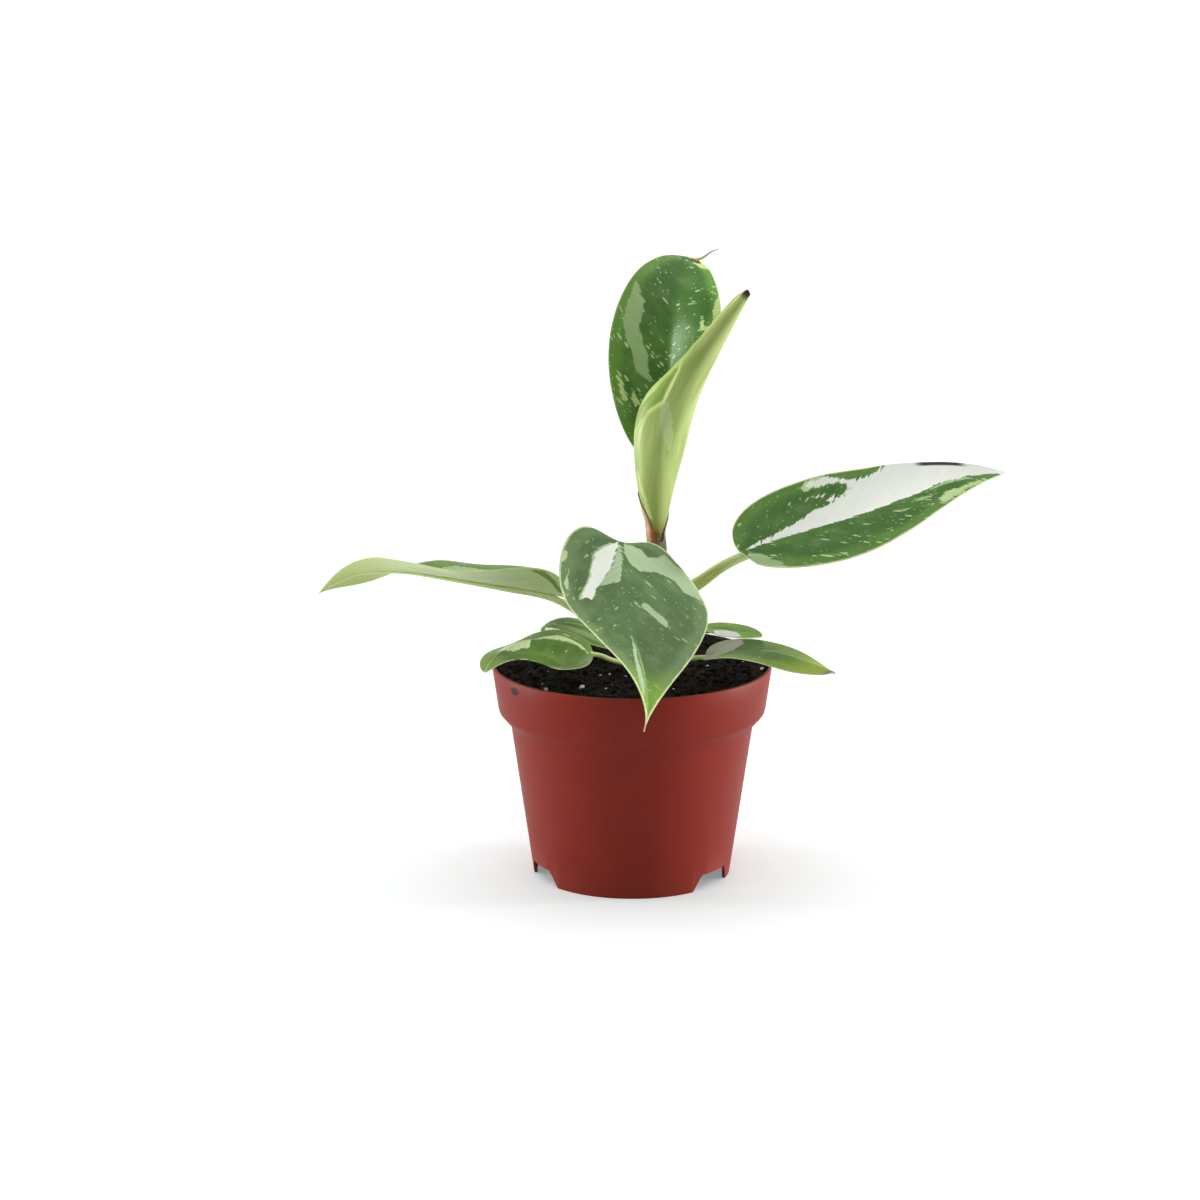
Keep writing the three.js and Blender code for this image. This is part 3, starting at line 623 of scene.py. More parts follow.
class Blade:
    """A flat outline bent along a midrib that is walked in small steps from the stalk.

    heading is yaw, pitch and roll in degrees; bend, turn and twist are degrees over the whole
    length at evenly spaced keys; fold and curl are the rise of each half, at its root and over it;
    foot is the height and the bearing at which the stalk leaves the stem.
    """

    def __init__(self, **shape):
        self.__dict__.update(BLADE_DEFAULTS)
        self.__dict__.update(shape)
        yaw, pitch, roll = np.radians(self.heading)
        forward = towards(yaw, pitch)
        flat_side = towards(yaw - math.pi / 2)
        side = flat_side * math.cos(roll) + np.cross(flat_side, forward) * math.sin(roll)
        middles = (np.arange(WALK_STEPS) + 0.5) / WALK_STEPS
        rates = [np.radians(along(keys, middles)) / WALK_STEPS for keys in (self.bend, self.turn, self.twist)]
        points = [np.array(self.base, float)]
        frames = [(forward, side, np.cross(side, forward))]
        for droop, swing, lift in zip(*rates):
            forward, side, up = frames[-1]
            spin = -droop * side - swing * up + lift * forward
            onward = unit(forward + np.cross(spin, forward))
            sideways = side + np.cross(spin, side)
            sideways = unit(sideways - onward * np.dot(onward, sideways))
            frames.append((onward, sideways, np.cross(sideways, onward)))
            points.append(points[-1] + onward * self.length / WALK_STEPS)
        self.points, self.frames = np.array(points), np.array(frames)

    def station(self, t):
        """The midrib's points and frames at shares t of the length."""
        place = np.clip(t, 0, 1) * WALK_STEPS
        i = np.minimum(place.astype(int), WALK_STEPS - 1)
        f = (place - i)[..., None]
        points = self.points[i] * (1 - f) + self.points[i + 1] * f
        frames = self.frames[i] * (1 - f)[..., None] + self.frames[i + 1] * f[..., None]
        return points, frames[..., 0, :], frames[..., 1, :], frames[..., 2, :]

    def half_width(self, t, right):
        end = self.roundness * (1 - self.widest) / self.widest
        peak = self.widest**self.roundness * (1 - self.widest) ** end
        inside = np.clip(t, 0, 1)
        full = np.where(right, self.width[1], self.width[0])
        return full * inside**self.roundness * (1 - inside) ** end / peak

    def flat(self, t, u):
        """Where (t, u) lies in the flat leaf: millimetres ahead of the base and to the right."""
        sweep = self.lobe * np.exp(-((t / LOBE_REACH) ** 2)) * (1 - np.exp(-t / LOBE_START))
        return t * self.length - sweep * np.abs(u) ** LOBE_POWER, self.half_width(t, u > 0) * u

    def at(self, ahead, across):
        """The bent leaf's points and upward normals at places in the flat leaf."""
        right = across > 0
        hand = np.where(right, 1.0, -1.0)[..., None]
        s = ahead / self.length
        middle, forward, side, up = self.station(s)
        middle = middle + forward * np.minimum(ahead, 0)[..., None]
        fold = np.radians(np.where(right, along(self.foldR, s), along(self.foldL, s)))
        curl = np.radians(np.where(right, along(self.curlR, s), along(self.curlL, s)))
        bow = curl / np.maximum(self.half_width(np.clip(s, 0.02, 0.98), right), 0.5)
        bow = np.where(np.abs(bow) < 1e-6, 1e-6, bow)
        angle = fold + bow * np.abs(across)
        out = (np.sin(angle) - np.sin(fold)) / bow
        lift = (np.cos(fold) - np.cos(angle)) / bow
        points = middle + side * hand * out[..., None] + up * lift[..., None]
        return points, unit(up * np.cos(angle)[..., None] - side * hand * np.sin(angle)[..., None])

    def lattice(self):
        """Shares along and across, and the flat places, closer together near the margins."""
        t = (1 - np.cos(np.linspace(0, math.pi, self.rows + 1))) / 2
        u = np.sin(np.linspace(-math.pi / 2, math.pi / 2, self.columns + 1))
        tt, uu = np.meshgrid(t, u, indexing="ij")
        return tt, uu, *self.flat(tt, uu)


def inside_by(x, y, outline):
    """How far places lie inside an outline: negative outside it."""
    corners = np.asarray(outline, float)
    nearest = np.full(x.shape, np.inf)
    inside = np.zeros(x.shape, bool)
    for (x0, y0), (x1, y1) in zip(corners, np.roll(corners, -1, axis=0)):
        dx, dy = x1 - x0, y1 - y0
        share = np.clip(((x - x0) * dx + (y - y0) * dy) / max(dx * dx + dy * dy, 1e-9), 0, 1)
        nearest = np.minimum(nearest, np.hypot(x - x0 - share * dx, y - y0 - share * dy))
        reach = x0 + (y - y0) * dx / np.where(np.abs(dy) < 1e-9, 1e-9, dy)
        inside ^= ((y0 > y) != (y1 > y)) & (x < reach)
    return np.where(inside, nearest, -nearest)


def smooth_route(points, count):
    """Evenly shared points on a smooth line through route points."""
    points = np.asarray(points, float)
    gaps = np.sqrt(np.linalg.norm(np.diff(points, axis=0), axis=1))
    places = np.concatenate([[0], np.cumsum(gaps)])
    ends = np.vstack([2 * points[0] - points[1], points, 2 * points[-1] - points[-2]])
    knots = np.concatenate([[places[0] - gaps[0]], places, [places[-1] + gaps[-1]]])
    line = []
    for share in np.linspace(0, len(points) - 1, count):
        i = min(int(share), len(points) - 2)
        t = places[i] + (share - i) * gaps[i]
        level, k = ends[i:i + 4], knots[i:i + 4]
        for step in (1, 2):
            level = [((k[n + step] - t) * level[n] + (t - k[n]) * level[n + 1]) / (k[n + step] - k[n])
                     for n in range(4 - step)]
        line.append(((k[2] - t) * level[0] + (t - k[1]) * level[1]) / (k[2] - k[1]))
    return np.array(line)


def stalk_rings(route, radii, count, sides, groove=0.0):
    """Rings round a route: rounded below, with a groove on top that fades towards the far end."""
    line = smooth_route(route, count)
    tangents = unit(np.gradient(line, axis=0))
    up = np.array([0.02, 0.05, 1.0]) if abs(tangents[0][2]) < 0.9 else np.array([0.0, 1.0, 0.0])
    rings = []
    for share, centre, tangent in zip(np.linspace(0, 1, count), line, tangents):
        up = unit(up - tangent * np.dot(up, tangent))
        side = np.cross(tangent, up)
        radius = float(along(radii, share))
        ring = []
        for angle in circle(sides):
            from_top = (angle + math.pi / 2) % (2 * math.pi) - math.pi
            dip = 1 - groove * math.exp(-((from_top / GROOVE_WIDTH) ** 2)) * max(0.0, 1 - share * 2)
            ring.append(centre + radius * dip * (math.cos(angle) * side + math.sin(angle) * up))
        rings.append(ring)
    return rings


def stalk_route(blade):
    """From inside the stem, through the stalk, and on under the blade as its midrib."""
    height, bearing = blade.foot
    route = [stem_axis(height) + (stem_radius(height) - STALK_ROOT) * towards(math.radians(bearing))]
    route += [np.array(p, float) for p in blade.stalk]
    for share in RIB_STATIONS:
        point, _, _, up = blade.station(np.array(share))
        route.append(point - up * (RIB_DEPTH[0] + RIB_DEPTH[1] * blade.stalkRadii[1] * (1 - share)))
    return route


def smooth_noise(x, y, scale, layer):
    """Noise from -1 to 1 over arrays of flat places."""
    places = zip((x * scale).ravel(), (y * scale).ravel())
    return np.array([noise.noise(Vector((px, py, layer))) for px, py in places]).reshape(x.shape)


def half_thickness(u, middle, margin):
    return (margin + (middle - margin) * (1 - u**4)) / 2


def add_vectors(mesh, label, values):
    """Keeps three numbers at every point of a mesh, for its material to read."""
    attribute = mesh.attributes.new(label, "FLOAT_VECTOR", "POINT")
    attribute.data.foreach_set("vector", np.asarray(values, np.float32).ravel())


def sew_leaf(name, blade, upper, lower, rings, patches):
    """A leaf's mesh from its two faces and its stalk, with what its skin's material reads.

    place is across, along and the share of the length; vein is the same place counted along the
    side veins; mark is how deep it lies in white, grey and cream; skin is the distance to the
    margin, 1 on the upper side, and 1 on the stalk.
    """
    tt, uu, ahead, across = blade.lattice()
    rows, columns = blade.rows, blade.columns
    points, faces, kept = [], [], []
    number = np.zeros((2, rows + 1, columns + 1), int)
    rim = np.minimum(blade.half_width(tt, uu > 0) * (1 - np.abs(uu)), (1 - tt) * blade.length + 0.4)
    for face, grid in enumerate((upper, lower)):
        for i in range(rows + 1):
            for j in range(columns + 1):
                if i in (0, rows) and j > 0:
                    number[face, i, j] = number[face, i, 0]
                    continue
                number[face, i, j] = len(points)
                points.append(grid[i, j])
                kept.append((across[i, j], ahead[i, j], tt[i, j], rim[i, j], 1.0 - face, 0.0))
    for i in range(rows):
        for j in range(columns):
            for face, order in ((0, 1), (1, -1)):
                near, far = number[face, i, j:j + 2], number[face, i + 1, j:j + 2]
                faces.append([*near, *far[::-1]][::order])
        for j, order in ((0, 1), (columns, -1)):
            faces.append([*number[0, i:i + 2, j], *number[1, i:i + 2, j][::-1]][::order])
    tube, tube_faces = skin_of_rings(rings)
    sides, first = len(rings[0]), len(points)
    points += tube
    faces += [[v + first for v in face] for face in tube_faces]
    for n in range(len(tube)):
        angle = 2 * math.pi * (n % sides) / sides
        share = min(n // sides, len(rings) - 1) / len(rings)
        kept.append((3 * math.cos(angle), 60 * share, share, 9.0, 0.5 + 0.5 * math.sin(angle), 1.0))
    faces = [tuple(dict.fromkeys(int(v) for v in face)) for face in faces]
    leaf = add_piece(name, points, [face for face in faces if len(face) > 2])

    x, y, share, rim, is_upper, on_stalk = np.array(kept).T
    marks = []
    for kind in ("white", "grey", "cream"):
        depths = [inside_by(y, x, outline) for outline in patches.get(kind, [])]
        depth = np.max([np.full(x.shape, FAR_OUTSIDE), *depths], axis=0)
        marks.append(np.where(on_stalk > 0.5, FAR_OUTSIDE, np.minimum(depth, -FAR_OUTSIDE)))
    vein = y - VEIN_SLANT * np.abs(x) ** VEIN_SWEEP
    for label, values in (("place", (x, y, share)), ("vein", (vein, x, 0 * x)), ("mark", marks),
                          ("skin", (rim, is_upper, on_stalk))):
        add_vectors(leaf.data, label, np.stack(values, -1))
    return leaf


def grow_leaf(name, shape, patches):
    """An open leaf: a thin blade, slightly wavy at its margin and channelled along its midrib."""
    blade = Blade(**shape)
    tt, uu, ahead, across = blade.lattice()
    centre, normal = blade.at(ahead, across)
    bulge = np.sin(math.pi * tt)
    wave = smooth_noise(ahead, across, MARGIN_WAVE_SCALE, blade.length * 0.37) * uu**2 * bulge**0.5
    slanted = ahead - VEIN_SLANT * np.abs(across)
    quilt = smooth_noise(slanted, across * 0.25, VEIN_QUILT_SCALE, 5.0) * (1 - uu**6) * bulge
    channel = np.exp(-((across / RIB_CHANNEL_WIDTH) ** 2)) * (1 - tt) ** 0.5
    rise = MARGIN_WAVE * wave + VEIN_QUILT * quilt - RIB_CHANNEL * channel
    half = half_thickness(uu, BLADE_MIDDLE, BLADE_MARGIN)
    thick, thin = blade.stalkRadii
    radii = [thick, (thick + thin) / 2, thin, thin * 0.6, *RIB_RADII]
    rings = stalk_rings(stalk_route(blade), radii, STALK_RINGS, STALK_SIDES, STALK_GROOVE)
    upper, lower = centre + normal * (rise + half)[..., None], centre + normal * (rise - half)[..., None]
    return sew_leaf(name, blade, upper, lower, rings, patches)


LEAVES = {
    "leaf_top": dict(
        base=[15.8, 27.8, 159.6], length=94, width=[23, 24], heading=[14.4, 96.5, -88],
        bend=[-7.4, 117.4, 180.7], turn=[7.3, 54.9, 34.7], twist=[-15.3, 2.3], foldL=[1, -7.4],
        foldR=[-66, -50, -16, -5], curlL=[-4], curlR=[7.4, -1.6], widest=0.343, roundness=0.45,
        lobe=9, foot=(111, 80),
        stalk=[[10, 6, 122], [12.5, 15.5, 140], [15.3, 25.2, 154]], stalkRadii=[1.9, 1.3],
    ),
    "leaf_right": dict(
        base=[40, 0, 123.5], length=110, width=[26.5, 26.5], heading=[22, 16, 8],
        bend=[36, -17, 117], turn=[12, 2], twist=[4, -17], foldL=[22, 16], foldR=[-13, -2.5],
        curlL=[28], curlR=[-26], widest=0.35, foot=(103, 10),
        stalk=[[16, -2, 106.5], [25.5, -1, 112.5], [34, -0.6, 118.5]], stalkRadii=[3.4, 1.9],
    ),
    "leaf_left": dict(
        base=[-25.3, -0.7, 106.5], length=108, width=[19.2, 20.6], heading=[168.2, 10.5, -6.1],
        bend=[34, 3, 48, 168], turn=[-13.5, 60.6, 10.4], twist=[-19, 56, 8],
        foldL=[54, 13, 8, 12.5], foldR=[25, 19.6, 29, -50], curlL=[1], curlR=[-12], widest=0.281,
        lobe=2, foot=(90, 180),
        stalk=[[-5, -2.4, 90.5], [-13, -2.4, 94.5], [-21, -2, 101.5]], stalkRadii=[2, 1.4],
    ),
    "leaf_front": dict(
        base=[-4.5, -23.5, 132.9], length=98, width=[32.5, 25], heading=[-86.5, -44, 28],
        bend=[-9, -51, 149], turn=[-22, 21, 22], twist=[39, -61], foldL=[-8, 22], foldR=[-8, 25],
        curlL=[2], curlR=[-8], widest=0.23, roundness=0.54, lobe=10, foot=(108, 215),
        stalk=[[-0.5, -10.5, 113], [-3.2, -15.6, 122.5], [-4.4, -20.6, 130.4]], stalkRadii=[2, 1.4],
    ),
    "leaf_low_left": dict(
        base=[-14.3, -18.3, 89.3], length=52, width=[13, 14], heading=[206, 32, 10],
        bend=[26, 75, 78, 197], turn=[-10, -37], twist=[-3, 44, -2], foldL=[-39, -34, -1],
        foldR=[7.5, -22, 0], curlL=[-12], curlR=[15], widest=0.44, foot=(80, 222),
        stalk=[[-3, -9.4, 83], [-8, -13.5, 85.6], [-11.6, -16.6, 87.9]],
    ),
    "leaf_low_back": dict(
        base=[-1, 12, 84.4], length=36, width=[8, 9], heading=[180, 27, 22], bend=[0, 40, 230],
        turn=[-8, -16], twist=[0, 10], foldL=[-10, -6], foldR=[-10], curlL=[-8], curlR=[-20],
        widest=0.58, roundness=0.42, foot=(82, 110),
        stalk=[[2.4, 5, 83], [0.8, 8.4, 83.7], [-0.4, 11, 84.2]],
    ),
    "leaf_low_right": dict(
        base=[27, -21.8, 89.3], length=54, width=[13, 14], heading=[-24, 19, -5.5],
        bend=[26, 47, -22], turn=[0, 18, 11], twist=[-52, 8, -1], foldL=[22, -30],
        foldR=[-5.5, -10.5], curlL=[5], curlR=[5], widest=0.51, foot=(80.5, -42),
        stalk=[[12.6, -9.6, 83.4], [18, -14.5, 85.6], [24, -19.6, 88]],
    ),
    "leaf_low_small": dict(
        base=[26.6, 4.9, 93], length=24, width=[7.7, 8.3], heading=[-21, 2, 1], bend=[6, 12],
        turn=[7, 1], twist=[8], foldL=[9, -4], foldR=[6.5, -2], curlL=[5], curlR=[5], widest=0.42,
        foot=(86, 35), stalk=[[13, 2.6, 89.4], [18, 4.6, 91.8], [23, 5.6, 93]],
    ),
}

# The larger sectors of each blade, as outlines in the flat leaf: (ahead of the base, to the right).
PATCHES = {
    "leaf_top": {
        "grey": [[(61.5, -15.9), (56, -16.4), (48, -17.8), (42.5, -18), (38, -16.4), (35, -14.2),
          (28, -12.8), (25, -9.6), (21.5, -5.6), (26, -7.4), (33, -8), (37, -10), (42, -11.6),
          (47.5, -11.4), (52.5, -11), (56, -13.6)]],
        "white": [[(82.4, -0.6), (87.4, -0.4), (88, 3.4), (84, 4.4), (81.4, 2.4)]],
        "cream": [[(72, 17.6), (66, 15.8), (58, 15.8), (54, 17.4), (49, 18.6), (46, 26), (74, 26)],
         [(90, -3), (92, 5), (83, 8), (79.4, 5.4), (80.6, 2.4), (84, -1)], [(28.5, -20.4), (23.8, -19.4),
          (17.4, -17.8), (18, -16.4), (26.5, -18.4)], [(20.8, -14), (17.6, -12), (15.4, -11.8),
          (15.2, -13.4), (18.2, -15)], [(54, 12.4), (52, 13.8), (47.4, 15.4), (47, 14.4), (50.5, 12.6)]],
    },
    "leaf_right": {
        "white": [[(3, 0.8), (4.6, -0.6), (16, -3.2), (27, -7), (36, -10.4), (41, -10.8), (48, -13),
          (53.4, -16.4), (50, -20.6), (44, -21.6), (38, -22.6), (37, -24.6), (47, -24.4), (55.5, -20),
          (61, -19), (66, -19.6), (72, -21.6), (78, -25), (82, -34), (114, -14), (114, 4), (104, 1.6),
          (94, -0.6), (81, -0.6), (75, 1.2), (57.7, 2), (46, 1.5), (30, 0.9)], [(37, -17.4), (42, -18),
          (44, -16.4), (39, -16)], [(40, -14.6), (47, -14.8), (46, -13.4), (41, -13.2)]],
        "cream": [[(34, -23.4), (38, -25.6), (44, -25.9), (47.5, -24), (40.8, -22), (36.2, -20.9)],
         [(76.5, 12.9), (80.2, 10.6), (83, 9.3), (86.6, 9.1), (90.3, 8.3), (97, 6.6), (99, 7.8),
          (92.1, 10.4), (87.1, 12.8), (82, 15), (77.9, 16.4)], [(43, 9.6), (48, 10.4), (54, 11.2),
          (48, 11.9)], [(60, 9), (66, 12.2), (62, 11.4)], [(22, 19), (28, 21.4), (34, 23.6),
          (27, 22.4)]],
        "grey": [[(2, 2), (6.4, 8), (9.2, 13.6), (10.6, 19), (9, 26), (4, 24), (0, 10)], [(67.8, 7),
          (76, 8.5), (71, 9.2)], [(76, 3.4), (81, -0.2), (88, -0.6), (99, 1.8), (90, 2.2), (82, 2.6)]],
    },
    "leaf_front": {
        "white": [[(0.6, 0.8), (3.6, 5.8), (7, 10.2), (11.3, 11.5), (17.4, 13), (30, 19.4), (27, 16.2),
          (28.9, 13.7), (23.3, 11.4), (17.5, 8), (12.2, 4.5), (6.3, 2.4)]],
        "grey": [[(0.8, -1.6), (6.4, -1.8), (9.4, -4.5), (11.1, -7.7), (9.5, -16), (12.1, -22.4),
          (17.2, -24.5), (21, -33), (10, -36), (2.6, -24.7), (-1.7, -20.6), (1.9, -16.2), (3, -12.1),
          (0.1, -9.5)], [(26.5, -4.8), (26.1, -8.1), (32.6, -13.8), (39.6, -15.6), (36.7, -12),
          (31.4, -8.5)], [(1.5, 0.7), (12.2, 4), (17.5, 8), (23.3, 12.2), (20.5, 7.5), (17.8, 1.2),
          (9.4, -0.2), (3, -0.2)], [(1, 2.2), (3, 6.5), (6.6, 10.9), (11.2, 12.1), (17.2, 13.6),
          (29, 19.6), (24, 12), (12, 5)], [(43.7, 0.8), (50, 0.6), (58, 1.2), (69, 1.2), (84, 1.7),
          (91, 0.4), (91, 1.4), (83, 2.8), (72, 3.4), (60, 3.2), (50, 1.8)]],
        "cream": [[(8.3, 23), (5.4, 20.8), (10, 21), (12, 23)], [(14, 20.6), (15.4, 21.4), (17.6, 21)],
         [(18, 22), (22.3, 23.6), (25, 22.6), (22, 21.8)], [(26, 20.4), (28.4, 21.4), (30, 20.8)]],
    },
    "leaf_left": {
        "grey": [[(12, -9), (20, -12), (36, -13), (50, -11), (60, -8), (56, -4), (40, -5), (22, -5)],
         [(24, 4), (40, 3), (52, 6), (48, 12), (30, 12)]],
        "white": [[(58.5, 11), (55, 14), (51, 15.5), (49, 9), (54, 6.5)], [(12, -16.6), (9.6, -14.4),
          (7, -13.6), (1.2, -4.6), (0, -1), (2.6, -2), (7, -9), (10.5, -13)], [(50, -17.6), (42, -18.6),
          (40, -22), (52, -22)]],
    },
    "leaf_low_left": {
        "grey": [[(42, 2), (34, 6), (29, 8), (28, -1), (31, -4), (38.6, -4)], [(28, -0.4), (20, 6),
          (13, 7.6), (6, 2.6), (3, -1.4), (10, 0.4), (19, 0)]],
        "white": [[(46, -4.4), (33, -7), (14, -11), (30, -13.4), (44, -8)]],
    },
    "leaf_low_back": {
        "grey": [[(32, 1), (28, -1), (22, -2.4), (15, -2.6), (9, -3.4), (10, -5.6), (20, -5),
          (28, -4.4)]],
        "white": [[(34, -1.2), (30, -2.8), (27.5, -4.6), (31, -4.6), (33.5, -4)]],
    },
    "leaf_low_right": {
        "white": [[(-2, -3), (3.4, -8), (9.5, -10), (13.4, -6.4), (11.7, -0.4), (8.4, 4.6), (8, 12),
          (-3, 9)]],
        "cream": [[(11.7, -0.3), (12.6, -9), (18, -12), (23, -3), (25, 5), (16.5, 4), (10, 6.6)]],
    },
    "leaf_low_small": {
        "white": [[(6, 3), (10, 1), (14, 1.6), (17, 5), (15, 9), (8, 9)]],
    },
}

# Short flecks that lie along the side veins, one size at a time.
flecks, knobs, result = new_group(
    "Vein Flecks",
    {"Vector": (0, 0, 0), "Size": 2.0, "Stretch": 3.0, "Share": 0.2, "Width": 0.3},
    ("Fleck",),
)
squeeze = flecks.add("ShaderNodeCombineXYZ", 1.0, flecks.math("DIVIDE", 1.0, knobs["Stretch"]), 1.0)
grain = flecks.add("ShaderNodeTexVoronoi", feature="F1")
flecks.fill(grain, Vector=flecks.vector("MULTIPLY", knobs["Vector"], squeeze.outputs[0])[0],
            Scale=flecks.math("DIVIDE", 1.0, knobs["Size"]))
chance = flecks.add("ShaderNodeSeparateColor", grain.outputs["Color"]).outputs
shiver = flecks.times(flecks.minus(flecks.cloud(knobs["Vector"], 1.7), 0.5), 0.175)
reach = flecks.times(knobs["Width"], flecks.plus(0.45, flecks.times(chance[1], 0.8)))
spot = flecks.minus(flecks.plus(reach, shiver), grain.outputs["Distance"])
chosen = flecks.math("LESS_THAN", chance[0], knobs["Share"])
flecks.fill(result, Fleck=flecks.times(flecks.step(spot, -0.02, 0.10), chosen))

# Where the blade is white, cream, grey-green, flecked, edged or fresher green: masks from 0 to 1.
# Each kind of fleck has its size, its stretch along the vein, its share of the cells and its width.
FLECK_KINDS = ((1.8, 1.5, 0.28, 0.34), (3.2, 2.4, 0.34, 0.26), (0.9, 1.3, 0.22, 0.32))
marks, knobs, result = new_group(
    "Leaf Markings",
    {"Ragged": 1.0, "Flecks": 0.5, "Margin": 0.8, "Shift": (0, 0, 0)},
    ("White", "Grey", "Cream", "Fleck", "Edge", "Fresh", "Streak"),
)
vein = marks.vector("ADD", marks.attribute("vein"), knobs["Shift"])[0]
patch = marks.parts(marks.attribute("mark"))
to_margin = marks.parts(marks.attribute("skin"))[0]
sway = marks.minus(marks.cloud(vein, 0.24, stretch=(1, 0.45, 1)), 0.5)
tear = marks.minus(marks.cloud(vein, 0.95, 4, 0.65, stretch=(1, 0.16, 1)), 0.5)
frayed = marks.times(marks.plus(marks.times(sway, 4.0), marks.times(tear, 7.0)), knobs["Ragged"])
for number, label in enumerate(("White", "Grey", "Cream")):
    marks.set(result.inputs[label], marks.step(marks.plus(patch[number], frayed), -0.18, 0.22))
crowd = marks.times(marks.step(marks.cloud(vein, 0.11), 0.34, 0.66), knobs["Flecks"])
speckled = 0.0
for size, stretch, share, width in FLECK_KINDS:
    crowded = marks.times(crowd, share)
    fleck = marks.use("Vein Flecks", Vector=vein, Size=size, Stretch=stretch, Share=crowded, Width=width)
    speckled = marks.math("MAXIMUM", speckled, fleck[0])
wander = marks.times(marks.cloud(vein, 0.16, 3, 0.6), 2.0)
line = marks.minus(marks.times(knobs["Margin"], wander), to_margin)
near_margin = marks.times(marks.step(to_margin, 8.0, 0.5), 0.5)
fresh = marks.plus(near_margin, marks.cloud(vein, 0.09, 3, 0.55))
streak = marks.cloud(vein, 0.8, 3, 0.6, stretch=(1, 0.12, 1))
marks.fill(result, Fleck=speckled, Edge=marks.step(line, -0.2, 0.15),
           Fresh=marks.step(fresh, 0.42, 0.92), Streak=streak)

# The side veins and the midrib: masks for their colour and a height for their relief.
veins, knobs, result = new_group("Leaf Veins", {"Spacing": 4.2, "Rib From": 0.0}, ("Line", "Height", "Rib"))
where = veins.attribute("vein")
vein = veins.parts(where)
wobble = veins.times(veins.cloud(where, 0.10, 3), 5.0)
row = veins.math("DIVIDE", veins.plus(vein[0], wobble), knobs["Spacing"])
saw = veins.off(veins.math("FRACT", row), 0.5)
rib = veins.step(veins.math("ABSOLUTE", vein[1]), 0.62, 0.2)
share = veins.parts(veins.attribute("place"))[2]
begun = veins.step(veins.minus(share, knobs["Rib From"]), -0.08, 0.12)
veins.fill(result, Line=veins.step(saw, 0.06, 0.0), Height=veins.step(saw, 0.0, 0.3),
           Rib=veins.times(rib, begun))

UNDER, UNDER_LIME = (178, 200, 140), (194, 212, 148)
PAINTS = {
    "white": ((224, 227, 218), (235, 237, 231)),
    "grey": ((138, 170, 110), (172, 196, 146)),
    "cream": ((206, 220, 150), (230, 236, 188)),
}


def leaf_skin(name, deep, fresh, ragged, shift, under=UNDER, flecks=0.2, margin=0.3, rib=(0.3, 0.0),
              specks=0.75, edge=0.4, tip=None, point=None, scar_and_rim_shade=None, paints=None):
    """A leaf's waxy skin: green tones, its markings, its veins and its paler underside.

    rib is how strongly the midrib shows and from what share of the length; tip and point are a
    colour and the shares between which it comes in; the rim's pair of places along the length is
    where painted shade darkens the left rim, for the underside's edge in shadow.
    """
    material, shader = new_material(name)
    marking = shader.use("Leaf Markings", Ragged=ragged, Flecks=flecks, Margin=margin, Shift=shift)
    vein = shader.use("Leaf Veins", Spacing=4.6, Rib_From=rib[1])
    flat = shader.attribute("place")
    place, skin = shader.parts(flat), shader.parts(shader.attribute("skin"))
    grain = shader.cloud(flat, 1.6, 3, 0.6)
    cloudy = shader.step(shader.cloud(flat, 0.12), 0.45, 0.75, 0.0, 0.3)
    tones = {**PAINTS, **(paints or {})}
    paint = {kind: shader.blend(marking["Streak"], *pair) for kind, pair in tones.items()}

    def coming_in(mark, share=1.0):
        """The coat for a colour that comes in between two shares of the length, if there is one."""
        return [(mark[0], shader.step(place[2], mark[1], mark[2], 0.0, share))] if mark else []

    above = shader.coats(
        shader.blend(marking["Fresh"], deep, fresh),
        ((52, 88, 30), grain, 0.3),
        ((118, 146, 92), cloudy),
        ((150, 178, 116), vein["Line"], 0.07),
        ((178, 202, 126), vein["Rib"], rib[0]),
        *coming_in(tip),
        ((188, 214, 150), marking["Fleck"], specks),
        (paint["grey"], marking["Grey"]),
        (paint["cream"], marking["Cream"]),
        ((220, 230, 178), marking["Edge"], edge),
        (paint["white"], marking["White"]),
    )

    below = shader.coats(
        shader.blend(marking["Streak"], under, shader.blend(0.4, under, (222, 230, 196))),
        ((222, 230, 190), marking["Fleck"], 0.3),
        ((182, 198, 166), marking["Grey"], 0.5),
        (paint["white"], marking["White"], 0.8),
        ((120, 150, 84), vein["Line"], 0.12),
        *coming_in(tip, 0.6),
    )
    face = shader.coats(shader.blend(skin[1], below, above), *coming_in(point))
    # Painted shade: a dark purple band within about 2 mm of the left margin, between two places along the
    # length, where the underside's edge lies in shadow.
    if scar_and_rim_shade:
        on_rim = shader.times(shader.step(skin[0], 2.4, 1.5), shader.math("LESS_THAN", place[0], 0.0))
        begun = shader.step(place[1], scar_and_rim_shade[0], scar_and_rim_shade[0] + 4)
        ended = shader.step(place[1], scar_and_rim_shade[1], scar_and_rim_shade[1] - 4)
        face = shader.coats(face, ((54, 42, 56), shader.times(on_rim, shader.times(begun, ended))))

    drawn = shader.cloud(flat, 0.9, 3, 0.6, stretch=(1, 0.05, 1))
    stalk = shader.coats(
        shader.blend(shader.step(drawn, 0.35, 0.65), (154, 170, 88), (200, 210, 140)),
        ((206, 214, 156), shader.step(skin[1], 0.7, 1.0, 0.0, 0.5)),
        ((122, 112, 60), shader.step(place[2], 0.10, 0.0, 0.0, 0.5)),
        (under, shader.step(place[2], 0.30, 0.45)),
    )
    relief = shader.plus(shader.times(vein["Height"], 0.2), shader.times(grain, 0.25))
    shader.finish(shader.blend(skin[2], face, stalk), shader.plus(0.36, shader.times(grain, 0.24)), relief,
                  strength=0.3, depth=0.0004, Subsurface_Weight=0.1, Subsurface_Radius=(0.6, 1.0, 0.3),
                  Subsurface_Scale=0.001, Specular_IOR_Level=0.2)
    return material


